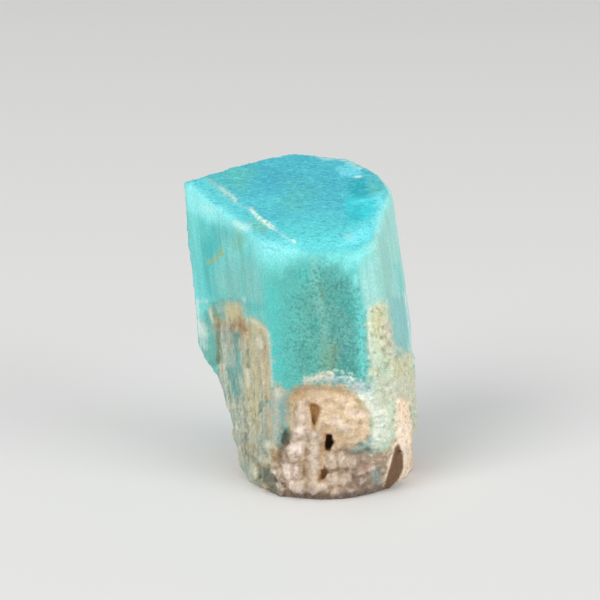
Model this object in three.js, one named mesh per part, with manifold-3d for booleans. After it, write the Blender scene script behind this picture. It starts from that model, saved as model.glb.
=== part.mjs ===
// An amazonite crystal: one stubby, leaning prism of blue-green feldspar with
// the pale rock that it grew from still at its foot, standing on a flat base.
// Millimetres, +Z up, +X right, -Y front. The origin is on the ground, under
// the middle of the crystal.
import * as THREE from "three";
import { ConvexGeometry } from "three/addons/geometries/ConvexGeometry.js";
import { ImprovedNoise } from "three/addons/math/ImprovedNoise.js";
import { mergeVertices } from "three/addons/utils/BufferGeometryUtils.js";
import Module from "manifold-3d";

const wasm = await Module();
wasm.setup();

// ---------------------------------------------------------------------------
// Driving dimensions
// ---------------------------------------------------------------------------

// The crown is the flat, sloping end of the crystal. It falls to the front.
const CROWN_SLOPE = THREE.MathUtils.degToRad(19.5);
const CROWN_FRONT_Y = -11.3;
const CROWN_FRONT_Z = 42.7;

// The prism's edges run back by this much for each millimetre that they rise.
const BACKWARD_LEAN = 0.114;

// Corners of the crown in plan, anticlockwise from the left one. Below each
// one an edge runs down, "lean" further right for each millimetre down, and
// "worn" is how far the corner itself is rubbed away.
const CORNERS = {
  left: { x: -20.4, y: 7.9, lean: 0.088, worn: 0.3 },
  leftBend: { x: -6.5, y: -9.85, lean: 0.065, worn: 1.3 },
  front: { x: 2.4, y: -11.5, lean: 0.088, worn: 2.4 },
  frontRight: { x: 9, y: -10.6, lean: 0.1165, worn: 2.8 },
  rightFront: { x: 12.4, y: -7.4, lean: 0.13, worn: 2.4 },
  right: { x: 15.5, y: 5.9, lean: 0.15, worn: 0.6 },
  rightBack: { x: 12.9, y: 10.8, lean: 0.135, worn: 0.7 },
  backRight: { x: 7.9, y: 14.9, lean: 0.12, worn: 0.7 },
  back: { x: -1.1, y: 16.4, lean: 0.1, worn: 0.5 },
  backLeft: { x: -5.3, y: 15.3, lean: 0.09, worn: 0.5 },
};
const CROWN_MIDDLE = new THREE.Vector2(-1, 3);

// The front edges end at this height, in the rounded foot.
const ROUNDED_BELOW = 8;

// The right edge stops spreading at its waist and is cut back at a ledge.
const RIGHT_WAIST = new THREE.Vector3(19, 3.3, 24.5);
const RIGHT_LEDGE = new THREE.Vector3(20, 1.6, 8.2);
const RIGHT_FOOT = new THREE.Vector3(19.2, 1, 6.6);
const RIGHT_FOOT_TURN = THREE.MathUtils.degToRad(8);

// A thinner sheet is missing from the left of the crown, up to a straight
// step that runs from the back left to the front.
const CROWN_STEP_DEPTH = 0.2;
const CROWN_STEP_BACK = new THREE.Vector2(-16.55, 8.6);
const CROWN_STEP_FRONT = new THREE.Vector2(-0.7, -9.9);

// The lower left corner is broken off: an undercut, then a steep flank, both
// given in front elevation (x, z), running back and slightly to the right.
const BREAK_OUTLINE = [
  [-18.1, 21.3],
  [-16.6, 18.9],
  [-14, 16.9],
  [-11, 10.5],
  [-9.1, 4.3],
  [-8.4, 2.2],
  [-5.9, -1],
  [-30, -1],
  [-30, 21.3],
];
const BREAK_TURN = THREE.MathUtils.degToRad(-12);
const BREAK_PIVOT_Y = 3.5;

// The fibrous recess in the left face, in front elevation (x, z).
const RECESS_DEPTH = 0.5;
const RECESS_OUTLINE = [
  [-16.4, 26.4],
  [-16.6, 28.6],
  [-15.4, 29.8],
  [-12.8, 31.2],
  [-11, 32],
  [-9.6, 31.8],
  [-8.3, 30.2],
  [-6.7, 29.4],
  [-5.9, 28.1],
  [-5.6, 24.8],
  [-4.7, 11.1],
  [-4.1, -1],
  [-20, -1],
  [-14.4, 17.8],
  [-15.9, 22.6],
];

// Fibres that stand up in the recess: x at the top of each one, and the heights
// of its two ends.
const FIBRES = [
  { x: -15, top: 28, bottom: 20 },
  { x: -13.5, top: 30, bottom: 9.5 },
  { x: -12.1, top: 28, bottom: 4.5 },
  { x: -10.9, top: 31, bottom: 8 },
  { x: -9.5, top: 29, bottom: 3 },
  { x: -8.1, top: 30, bottom: 6.5 },
  { x: -6.7, top: 28, bottom: 9 },
];
const FIBRE_RADIUS = 0.75;
const FIBRE_SIDES = 6;
const FIBRE_LEAN = 0.07;
const FIBRE_SUNK = 0.45; // of its radius

// The granular crust on the right, in front elevation (x, z), and how far it
// stands out from the face.
const CRUST_PROUD = 0.4;
const CRUST_OUTLINE = [
  [12.6, 32.4],
  [13.7, 31.9],
  [14.2, 27],
  [15.4, 23.5],
  [22, 22.4],
  [22, 7.6],
  [16.2, 8.2],
  [13, 6.8],
  [13.3, 10],
  [12, 13.8],
  [9.8, 17.4],
  [11.7, 18.2],
  [11.3, 21],
  [11.3, 29.5],
];

// The rock's dome at the foot of the front, in front elevation (x, z).
const DOME_DEPTH = 0.4;
const DOME_OUTLINE = [
  [-5.2, -1],
  [-4.2, 5],
  [-3.1, 8.9],
  [-2.7, 12.3],
  [-2, 16.3],
  [-1.5, 17.7],
  [-0.2, 18.9],
  [3, 19.6],
  [5.8, 19.1],
  [8.3, 18.5],
  [9.5, 17],
  [11, 14.9],
  [11.9, 12.6],
  [11.4, 9],
  [13.4, 6],
  [15, -1],
];

// The foot swells out below the dome. Each ring is an open curve in plan, from
// left to right, at its own height, drawn in from the outside by its inset.
const FOOTPRINT = [
  [-8.6, -7.9],
  [-6.2, -11.3],
  [-3.8, -14.7],
  [-0.6, -16.1],
  [3.4, -16.5],
  [7.4, -15.9],
  [11, -13.9],
  [15.2, -10.6],
  [18, -5],
  [19.2, 0],
];
const FOOT_RINGS = [
  { z: 0, inset: 0.8, through: FOOTPRINT },
  { z: 1.5, inset: 0, through: FOOTPRINT },
  {
    z: 8,
    inset: 0,
    through: [[-3, -14.1], [-0.6, -14.6], [3.4, -15.3], [9.4, -14.9], [13.2, -11.9], [16.6, -6.5]],
  },
  { z: 13.5, inset: 0, through: [[-1.6, -13.6], [0.6, -13.9], [4.6, -14.7], [9.2, -14.3], [12, -11]] },
  { z: 17.8, inset: 0, through: [[0, -13.5], [2.4, -13.8], [5.2, -14], [8.4, -13.6]] },
];
const FOOT_CORE = new THREE.Vector3(4, 1, 6);

// Columns of rock on the dome: middle, radius and length, leaning as the edges.
const COLUMNS = [
  { x: 0.1, y: -13.1, z: 14.4, radius: 1.5, length: 3.4 },
  { x: 2, y: -13.7, z: 6.9, radius: 1.7, length: 6.4 },
  { x: -0.5, y: -13.7, z: 4.7, radius: 1.35, length: 4.2 },
  { x: -2.2, y: -13.6, z: 4.6, radius: 1.2, length: 4.2 },
];
const COLUMN_SIDES = 7;

// Clods of rock at the foot: middle and radius.
const CLODS = [
  { x: 6.9, y: -13.9, z: 6.3, radius: 1.9 },
  { x: 9.8, y: -13, z: 3.4, radius: 2.2 },
  { x: 6, y: -14.3, z: 2.6, radius: 1.9 },
  { x: 13.1, y: -11.3, z: 2.9, radius: 2 },
  { x: -4.6, y: -12, z: 1.8, radius: 1.8 },
  { x: -5.4, y: -10.6, z: 5.2, radius: 1.7 },
  { x: -6.9, y: -8.8, z: 2.4, radius: 1.8 },
  { x: 9.6, y: -13.2, z: 10.4, radius: 1.9 },
];

// Pits in the rock, in front elevation (x, z), each with its deepest y.
const PITS = [
  { floor: -11.9, outline: [[1.4, 16.4], [3.2, 15.8], [3, 13.6], [2.1, 11.8]] },
  { floor: -12, outline: [[4, 11.3], [5.3, 10.9], [5.6, 9.7], [4.8, 8.4], [4, 8.9]] },
  { floor: -14.2, outline: [[3.7, 8.2], [4.5, 7.7], [4.3, 5.4], [3.6, 3.2], [2.9, 3.7], [3.6, 5.4]] },
  { floor: -13.4, outline: [[0.1, 7.2], [0.8, 6.9], [0.7, 4.1], [0.2, 4.1]] },
  { floor: -12.8, outline: [[-3.1, 2.9], [-2.3, 2.6], [-2.5, 1], [-3.2, 1.3]] },
  { floor: -12.6, outline: [[-3.1, 11.1], [-1.9, 10.9], [-1.9, 9], [-3.3, 8.6]] },
];

// A smooth diamond hollow at the right of the foot, in front elevation (x, z),
// cut to a floor that faces the way HOLLOW_TURN says.
const HOLLOW_OUTLINE = [
  [16.2, 8],
  [17.7, 4.9],
  [17, 2.9],
  [14.6, 1],
  [15.4, 4.2],
];
const HOLLOW_FLOOR = new THREE.Vector3(17, -8.5, 4);
const HOLLOW_TURN = THREE.MathUtils.degToRad(-36);

// A shell-like chip out of the crown's back right edge.
const CHIP_MIDDLE = new THREE.Vector3(10.2, 15.2, 53);
const CHIP_RADIUS = 3;
const CHIP_FLATNESS = 0.6;

// Cleavage steps where the back broke away from its neighbour: boxes taken
// out of the back, each given by its lowest and highest corner.
const REAR_STEPS = [
  { low: [-30, 8.6, -5], high: [5, 30, 20] },
  { low: [-30, 7.1, -5], high: [10, 30, 8.5] },
];
const REAR_STEP_TURN = THREE.MathUtils.degToRad(6);

// How finely the surface is divided, and how rough it is in each zone.
const LONGEST_EDGE = { rock: 2, crust: 3.4, recess: 3.4, face: 6 };
const EDGE_SAMPLES = [0, 0.125, 0.25, 0.375, 0.5, 0.625, 0.75, 0.875, 1];
const MOST_WAITING = 20000;
const MERGE_WITHIN = 1e-3;
const RELIEF = { rock: 0.42, crust: 0.12, recess: 0.16, face: 0.02 };
const RELIEF_GRAIN = 2.3;
const FADE_HEIGHT = 1.2;

const REACH = 80; // longer than the crystal, for cutters that pass right through

// ---------------------------------------------------------------------------
// Helpers
// ---------------------------------------------------------------------------

// A closed geometry as a solid that can be joined and cut.
function solidOf(geometry) {
  const bare = new THREE.BufferGeometry();
  const loose = geometry.index ? geometry.toNonIndexed() : geometry;
  bare.setAttribute("position", loose.getAttribute("position").clone());
  const merged = mergeVertices(bare, MERGE_WITHIN);
  return new wasm.Manifold(
    new wasm.Mesh({
      numProp: 3,
      vertProperties: merged.attributes.position.array,
      triVerts: new Uint32Array(merged.index.array),
    }),
  );
}

// A solid as a geometry again.
function geometryOf(solid) {
  const mesh = solid.getMesh();
  const places = new THREE.BufferAttribute(mesh.vertProperties, 3);
  const geometry = new THREE.BufferGeometry().setAttribute("position", places);
  geometry.setIndex(new THREE.BufferAttribute(mesh.triVerts, 1));
  return geometry;
}

// The height of the unworn crown at a distance back.
function crownHeight(y) {
  return CROWN_FRONT_Z + Math.tan(CROWN_SLOPE) * (y - CROWN_FRONT_Y);
}

// The point at a height on the edge below one of the crown's corners.
function onEdge(corner, z) {
  const drop = crownHeight(corner.y) - z;
  return new THREE.Vector3(corner.x + corner.lean * drop, corner.y - BACKWARD_LEAN * drop, z);
}

// The plane of the face between two corners, facing out.
function faceBetween(cornerA, cornerB) {
  const top = onEdge(cornerA, crownHeight(cornerA.y));
  const next = onEdge(cornerB, crownHeight(cornerB.y));
  const below = onEdge(cornerA, 0).lerp(onEdge(cornerB, 0), 0.5);
  return new THREE.Plane().setFromCoplanarPoints(top, below, next);
}

// Everything outside a plane that has been moved in by a depth.
function outside(plane, depth) {
  const box = new THREE.BoxGeometry(REACH, REACH, REACH);
  box.translate(0, 0, REACH / 2 - depth);
  const turn = new THREE.Quaternion().setFromUnitVectors(new THREE.Vector3(0, 0, 1), plane.normal);
  box.applyQuaternion(turn);
  const foot = plane.normal.clone().multiplyScalar(-plane.constant);
  box.translate(foot.x, foot.y, foot.z);
  return solidOf(box);
}

// An outline in front elevation, drawn through from one y to a further one.
function throughFront(outline, nearY, farY) {
  const shape = new THREE.Shape(outline.map(([x, z]) => new THREE.Vector2(x, z)));
  const bar = new THREE.ExtrudeGeometry(shape, { depth: farY - nearY, bevelEnabled: false });
  bar.rotateX(Math.PI / 2);
  bar.translate(0, farY, 0);
  return bar;
}

// ---------------------------------------------------------------------------
// The crystal
// ---------------------------------------------------------------------------

// Each corner gives three points: in on the crown, between, and down the edge.
function wornCorner(corner) {
  const inward = CROWN_MIDDLE.clone().sub(new THREE.Vector2(corner.x, corner.y));
  inward.setLength(corner.worn);
  const x = corner.x + inward.x;
  const y = corner.y + inward.y;
  const onCrown = new THREE.Vector3(x, y, crownHeight(y));
  const sharp = onEdge(corner, crownHeight(corner.y));
  const down = onEdge(corner, crownHeight(corner.y) - corner.worn);
  const between = onCrown.clone().lerp(down, 0.5).lerp(sharp, 0.35);
  return [onCrown, between, down];
}

// The whole prism, before anything broke off it.
function prismGeometry() {
  const { front, frontRight, rightFront, right, ...straight } = CORNERS;
  const points = Object.values(CORNERS).flatMap(wornCorner);
  points.push(...Object.values(straight).map((corner) => onEdge(corner, 0)));
  points.push(...[front, frontRight, rightFront].map((corner) => onEdge(corner, ROUNDED_BELOW)));
  points.push(...FOOTPRINT.slice(4).map(([x, y]) => new THREE.Vector3(x, y, 0)));
  points.push(RIGHT_WAIST, RIGHT_LEDGE, RIGHT_LEDGE.clone().setZ(0));
  return new ConvexGeometry(points);
}

// The sheet that is missing from the left of the crown.
function crownSheet() {
  const along = CROWN_STEP_FRONT.clone().sub(CROWN_STEP_BACK);
  const box = new THREE.BoxGeometry(REACH, REACH, REACH);
  box.translate(0, -REACH / 2, REACH / 2);
  box.rotateZ(along.angle());
  box.translate(CROWN_STEP_BACK.x, CROWN_STEP_BACK.y, 0);
  const slope = new THREE.Vector3(0, -Math.sin(CROWN_SLOPE), Math.cos(CROWN_SLOPE));
  const middle = new THREE.Vector3(0, CROWN_FRONT_Y, CROWN_FRONT_Z);
  const crown = new THREE.Plane().setFromNormalAndCoplanarPoint(slope, middle);
  return solidOf(box).intersect(outside(crown, CROWN_STEP_DEPTH));
}

// The lower left corner that broke away.
function brokenCorner() {
  const bar = throughFront(BREAK_OUTLINE, -REACH / 2, REACH / 2);
  bar.translate(-BREAK_OUTLINE[2][0], -BREAK_PIVOT_Y, 0);
  bar.rotateZ(BREAK_TURN);
  bar.translate(BREAK_OUTLINE[2][0], BREAK_PIVOT_Y, 0);
  return solidOf(bar);
}

// The shallow recess in the left face.
function recess() {
  const face = faceBetween(CORNERS.left, CORNERS.leftBend);
  const bar = solidOf(throughFront(RECESS_OUTLINE, -REACH / 2, 6));
  return bar.intersect(outside(face, RECESS_DEPTH));
}

// The fibres in that recess, each half sunk in its floor.
function fibres() {
  const face = faceBetween(CORNERS.left, CORNERS.leftBend);
  const floor = face.clone();
  floor.constant += RECESS_DEPTH + FIBRE_RADIUS * FIBRE_SUNK;
  return FIBRES.map(({ x, top, bottom }) => {
    const fibre = new THREE.CapsuleGeometry(FIBRE_RADIUS, top - bottom, 1, FIBRE_SIDES);
    fibre.rotateX(Math.PI / 2 - BACKWARD_LEAN);
    fibre.rotateY(-FIBRE_LEAN);
    const middle = (top + bottom) / 2;
    const atMiddle = new THREE.Vector3(x + FIBRE_LEAN * (top - middle), 0, middle);
    atMiddle.y = (-floor.constant - floor.normal.x * atMiddle.x - floor.normal.z * middle) / floor.normal.y;
    return solidOf(fibre.translate(atMiddle.x, atMiddle.y, atMiddle.z));
  });
}

// The crust: the same prism moved out a little, inside the crust's outline.
function crust() {
  const moved = prismGeometry();
  moved.translate(CRUST_PROUD * Math.SQRT1_2, -CRUST_PROUD * Math.SQRT1_2, 0);
  return solidOf(moved).intersect(solidOf(throughFront(CRUST_OUTLINE, -REACH / 2, 3)));
}

// The bed of the rock's dome, sunk into both front faces.
function domeBed() {
  const leftFace = faceBetween(CORNERS.leftBend, CORNERS.front);
  const rightFace = faceBetween(CORNERS.front, CORNERS.frontRight);
  const bar = solidOf(throughFront(DOME_OUTLINE, -REACH / 2, -4));
  return bar.intersect(outside(leftFace, DOME_DEPTH).add(outside(rightFace, DOME_DEPTH)));
}

// The swelling foot, with its columns and clods.
function foot() {
  const points = FOOT_RINGS.flatMap(({ z, inset, through }) => {
    const curve = new THREE.CatmullRomCurve3(through.map(([x, y]) => new THREE.Vector3(x, y, z)));
    return curve.getPoints(through.length).map((point) => {
      const inward = new THREE.Vector3(FOOT_CORE.x, FOOT_CORE.y, z).sub(point);
      return point.add(inward.setLength(inset));
    });
  });
  points.push(FOOT_CORE);
  let body = solidOf(new ConvexGeometry(points));
  COLUMNS.forEach(({ x, y, z, radius, length }) => {
    const column = new THREE.CapsuleGeometry(radius, length, 2, COLUMN_SIDES);
    column.rotateX(Math.PI / 2 + BACKWARD_LEAN);
    column.rotateY(-CORNERS.front.lean);
    column.translate(x, y, z);
    body = body.add(solidOf(column));
  });
  CLODS.forEach(({ x, y, z, radius }, turn) => {
    const clod = new THREE.IcosahedronGeometry(radius, 1);
    clod.rotateX(turn);
    clod.rotateZ(2 * turn);
    clod.translate(x, y, z);
    body = body.add(solidOf(clod));
  });
  return body;
}

// The pits in the rock and the diamond hollow beside it.
function openings() {
  const pits = PITS.map(({ floor, outline }) => solidOf(throughFront(outline, -REACH / 2, floor)));
  const facing = new THREE.Vector3(Math.cos(HOLLOW_TURN), Math.sin(HOLLOW_TURN), 0);
  const floor = new THREE.Plane().setFromNormalAndCoplanarPoint(facing, HOLLOW_FLOOR);
  const bar = solidOf(throughFront(HOLLOW_OUTLINE, -REACH / 2, -2));
  return [...pits, bar.intersect(outside(floor, 0))];
}

// The steps left at the back.
function rearSteps() {
  return REAR_STEPS.map(({ low, high }) => {
    const size = new THREE.Vector3(...high).sub(new THREE.Vector3(...low));
    const box = new THREE.BoxGeometry(size.x, size.y, size.z);
    box.translate(low[0] + size.x / 2, low[1] + size.y / 2, low[2] + size.z / 2);
    box.rotateX(-REAR_STEP_TURN);
    box.rotateZ(REAR_STEP_TURN);
    return solidOf(box);
  });
}

// The ledge at the lower right.
function rightCutback() {
  const box = new THREE.BoxGeometry(REACH, REACH, RIGHT_FOOT.z + 1);
  box.rotateZ(RIGHT_FOOT_TURN);
  box.translate(RIGHT_FOOT.x + REACH / 2, 0, (RIGHT_FOOT.z - 1) / 2);
  return solidOf(box);
}

// Everything below the ground.
function ground() {
  const box = new THREE.BoxGeometry(2 * REACH, 2 * REACH, REACH);
  box.translate(0, 0, -REACH / 2);
  return solidOf(box);
}

// The scoop that the chip leaves.
function chip() {
  const scoop = new THREE.IcosahedronGeometry(CHIP_RADIUS, 1);
  scoop.scale(1, 1, CHIP_FLATNESS);
  scoop.rotateX(CROWN_SLOPE);
  scoop.translate(CHIP_MIDDLE.x, CHIP_MIDDLE.y, CHIP_MIDDLE.z);
  return solidOf(scoop);
}

// ---------------------------------------------------------------------------
// The surface
// ---------------------------------------------------------------------------

function inOutline(outline, x, z) {
  let inside = false;
  outline.forEach(([ax, az], i) => {
    const [bx, bz] = outline[(i + 1) % outline.length];
    if (az > z !== bz > z && x < ax + ((z - az) * (bx - ax)) / (bz - az)) inside = !inside;
  });
  return inside;
}

// The kind of surface at a point.
function zoneAt({ x, y, z }) {
  if (inOutline(DOME_OUTLINE, x, z) && y < 0) return "rock";
  if (z < 5) return "rock";
  if (inOutline(RECESS_OUTLINE, x, z) && y < 4) return "recess";
  if (x > 11 && z < 20 + 0.4 * x && y < 4) return "crust";
  if (y > 5 && z < 20) return "crust";
  return "face";
}

// How many times too long an edge is for the finest zone that it crosses.
function excessOf(a, b) {
  const limits = EDGE_SAMPLES.map((share) => LONGEST_EDGE[zoneAt(a.clone().lerp(b, share))]);
  return a.distanceTo(b) / Math.min(...limits);
}

// A geometry whose edges are halved until none is too long. Both triangles at
// an edge ask the same question, so the surface stays closed.
function divided(geometry) {
  const loose = geometry.toNonIndexed().getAttribute("position");
  const corner = (i) => new THREE.Vector3().fromBufferAttribute(loose, i);
  const waiting = [];
  for (let i = 0; i < loose.count; i += 3) waiting.push([corner(i), corner(i + 1), corner(i + 2)]);
  const done = [];
  while (waiting.length) {
    const triangle = waiting.pop();
    const excess = triangle.map((a, i) => excessOf(a, triangle[(i + 1) % 3]));
    const worst = excess.indexOf(Math.max(...excess));
    if (excess[worst] <= 1) {
      done.push(...triangle);
      continue;
    }
    if (waiting.length > MOST_WAITING) throw new Error("an edge can't be divided");
    const [a, b, c] = [0, 1, 2].map((i) => triangle[(worst + i) % 3]);
    const middle = a.clone().add(b).multiplyScalar(0.5);
    waiting.push([a, middle, c], [middle, b, c]);
  }
  return new THREE.BufferGeometry().setFromPoints(done);
}

// The finished surface: divided evenly, then each point moved a little in or
// out. Points on the ground only slide along it, so the base stays flat.
function weathered(solid) {
  const geometry = mergeVertices(divided(geometryOf(solid)), MERGE_WITHIN);
  geometry.computeVertexNormals();
  const noise = new ImprovedNoise();
  const places = geometry.attributes.position;
  const point = new THREE.Vector3();
  const move = new THREE.Vector3();
  for (let i = 0; i < places.count; i++) {
    point.fromBufferAttribute(places, i);
    const grain = point.clone().divideScalar(RELIEF_GRAIN);
    const size = RELIEF[zoneAt(point)] * noise.noise(grain.x, grain.y, grain.z / 1.3);
    move.fromBufferAttribute(geometry.attributes.normal, i).multiplyScalar(size);
    move.z *= THREE.MathUtils.smoothstep(point.z, 0, FADE_HEIGHT);
    point.add(move);
    places.setXYZ(i, point.x, point.y, point.z);
  }
  geometry.computeVertexNormals();
  return geometry;
}

let body = solidOf(prismGeometry()).add(crust());
body = body.subtract(crownSheet()).subtract(recess()).subtract(domeBed());
body = body.add(foot());
for (const fibre of fibres()) body = body.add(fibre);
for (const cut of [chip(), brokenCorner(), rightCutback(), ...rearSteps(), ...openings(), ground()]) {
  body = body.subtract(cut);
}

const crystal = new THREE.Mesh(
  weathered(body),
  new THREE.MeshStandardMaterial({ color: 0x5cc3c0, roughness: 0.42, metalness: 0 }),
);
crystal.name = "amazonite_crystal";

const group = new THREE.Group();
group.add(crystal);
export default group;
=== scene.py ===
"""Dresses the amazonite crystal: its worn prism, fibrous recess, granular crust and rocky foot.

A mesh is worked on in millimetres and brought to metres as its last step. +Z is up, +X right and
-Y towards the front, with the origin on the ground under the middle of the crystal, as in the frame.
"""
import logging
import math
from dataclasses import dataclass, field
from enum import Enum
from typing import Callable

import bmesh
import bpy
import numpy as np
from mathutils import Matrix, Vector, noise


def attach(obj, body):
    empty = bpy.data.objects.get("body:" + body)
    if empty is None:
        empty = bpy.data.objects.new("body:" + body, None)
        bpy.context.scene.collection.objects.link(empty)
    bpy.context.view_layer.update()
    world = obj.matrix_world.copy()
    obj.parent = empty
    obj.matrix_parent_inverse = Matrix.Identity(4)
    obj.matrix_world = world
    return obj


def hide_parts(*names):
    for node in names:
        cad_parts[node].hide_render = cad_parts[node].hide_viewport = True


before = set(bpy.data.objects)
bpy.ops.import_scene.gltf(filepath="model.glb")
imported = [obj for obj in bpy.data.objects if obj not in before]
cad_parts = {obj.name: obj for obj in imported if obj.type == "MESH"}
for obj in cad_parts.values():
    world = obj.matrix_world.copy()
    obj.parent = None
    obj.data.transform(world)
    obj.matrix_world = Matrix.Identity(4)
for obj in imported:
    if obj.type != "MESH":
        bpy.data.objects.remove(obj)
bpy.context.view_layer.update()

LOG = logging.getLogger("amazonite")

MM = 0.001
NODE = "amazonite_crystal"
BODY = "root"
REACH = 80.0  # longer than the crystal, for cutters that pass right through
RUN = (0.1, -0.114, 0.0)  # undoes the lean of the edges, so that streaks of noise run along them
VOXEL = 0.288  # the skin's mesh size, just wide enough to stay under 200,000 triangles
STREAKS = (0.4, 0.4, 3.0)  # the size of noise that frays patches lengthways
KNOB_BLEND = 0.22  # how softly neighbouring knobs run into one another
KNOB_WARP, KNOB_WARP_SIZE = 0.4, 1.3  # how far noise bends knobs out of round, and its size
FINE, BROAD, DEEP = 10, 20, 60  # rounds of averaging that bring out ridges, faces and hollows

Pair = tuple[float, float]
Outline = tuple[Pair, ...]
Triple = tuple[float, float, float]
Array = np.ndarray
Size = float | Triple
Knobs = tuple[tuple[float, float, float, float, float], ...]
Socket = bpy.types.NodeSocket


# Small tools


def smoothstep(low: float, high: float, value: Array) -> Array:
    """Eases values from 0 at low to 1 at high."""
    share = np.clip((value - low) / (high - low), 0.0, 1.0)
    return share * share * (3.0 - 2.0 * share)


def grain(places: Array, size: Size, seed: int) -> Array:
    """Smooth noise, about -1 to 1, with features of a size in millimetres, picked by its seed."""
    shifted = places / np.array(size) + 17.3 * seed
    return np.array([noise.noise(place) for place in shifted.tolist()])


def rubble(places: Array, size: Size, seed: int) -> Array:
    """Rough noise, about -1 to 1, with finer noise on coarse features of a size in millimetres."""
    shifted = places / np.array(size) + 23.1 * seed
    return np.array([noise.fractal(place, 0.75, 2.1, 4) for place in shifted.tolist()])


def clods(places: Array, size: Size, seed: int) -> Array:
    """Rounded lumps packed side by side.

    Args:
        places: Points in millimetres, one a row.
        size: How far apart the lumps are, in millimetres, along each axis or along all.
        seed: Picks one packing among many.

    Returns:
        A height for each place, 1 at the top of a lump and falling to 0 or a little below between lumps.
    """
    shifted = places / np.array(size) + 11.7 * seed
    nearest = np.array([noise.voronoi(place)[0][0] for place in shifted.tolist()])
    return 1.0 - 1.6 * nearest * nearest


def distance_to(line: Outline, points: Array) -> Array:
    """How far each point is from an open line.

    Args:
        line: The line's corners, in order, in millimetres.
        points: Points in the same elevation, one a row.

    Returns:
        The distance to the line's nearest stretch.
    """
    nearest = np.full(len(points), np.inf)
    corners = np.array(line)
    for start, end in zip(corners, corners[1:]):
        side = end - start
        share = np.clip((points - start) @ side / (side @ side), 0.0, 1.0)
        nearest = np.minimum(nearest, np.hypot(*(points - start - share[:, None] * side).T))
    return nearest


def depth_in(outline: Outline, points: Array) -> Array:
    """How far inside an outline each point is.

    Args:
        outline: The outline's corners, in order, in millimetres.
        points: Points in the same elevation, one a row.

    Returns:
        The distance to the outline's nearest side, negative for a point outside.
    """
    closed = (*outline, outline[0])
    nearest = distance_to(closed, points)
    inside = np.zeros(len(points), bool)
    corners = np.array(closed)
    for start, end in zip(corners, corners[1:]):
        side = end - start
        spans = (start[1] > points[:, 1]) != (end[1] > points[:, 1])
        if side[1]:
            crossing = start[0] + (points[:, 1] - start[1]) * side[0] / side[1]
            inside ^= spans & (points[:, 0] < crossing)
    return np.where(inside, nearest, -nearest)


# Where things are looked at from


@dataclass(frozen=True)
class Sighting:
    """A line of sight on to the crystal, whose elevation its natural patches are drawn in.

    An elevation's first number runs right and its second up, in millimetres, square to the line of
    sight through the target.
    """

    rise: float = math.radians(16.0)
    distance: float = 425.0
    target: Triple = (-0.2, -2.3, 31.0)

    def toward_eye(self) -> Array:
        """The direction from the target to the eye."""
        return np.array([0.0, -math.cos(self.rise), math.sin(self.rise)])

    def eye(self) -> Array:
        """Where the eye is, in millimetres."""
        return np.array(self.target) + self.distance * self.toward_eye()

    def elevation(self, places: Array) -> Array:
        """Draws places in the elevation.

        Args:
            places: Points in millimetres, one a row.

        Returns:
            Each point's place in the elevation, right and up.
        """
        back = self.toward_eye()
        right = np.array([1.0, 0.0, 0.0])
        up = np.cross(back, right)
        offset = places - np.array(self.target)
        nearer = self.distance / (self.distance - offset @ back)
        return np.stack([offset @ right * nearer, offset @ up * nearer], axis=1)


SIGHT = Sighting()


# Colours and patches


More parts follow.
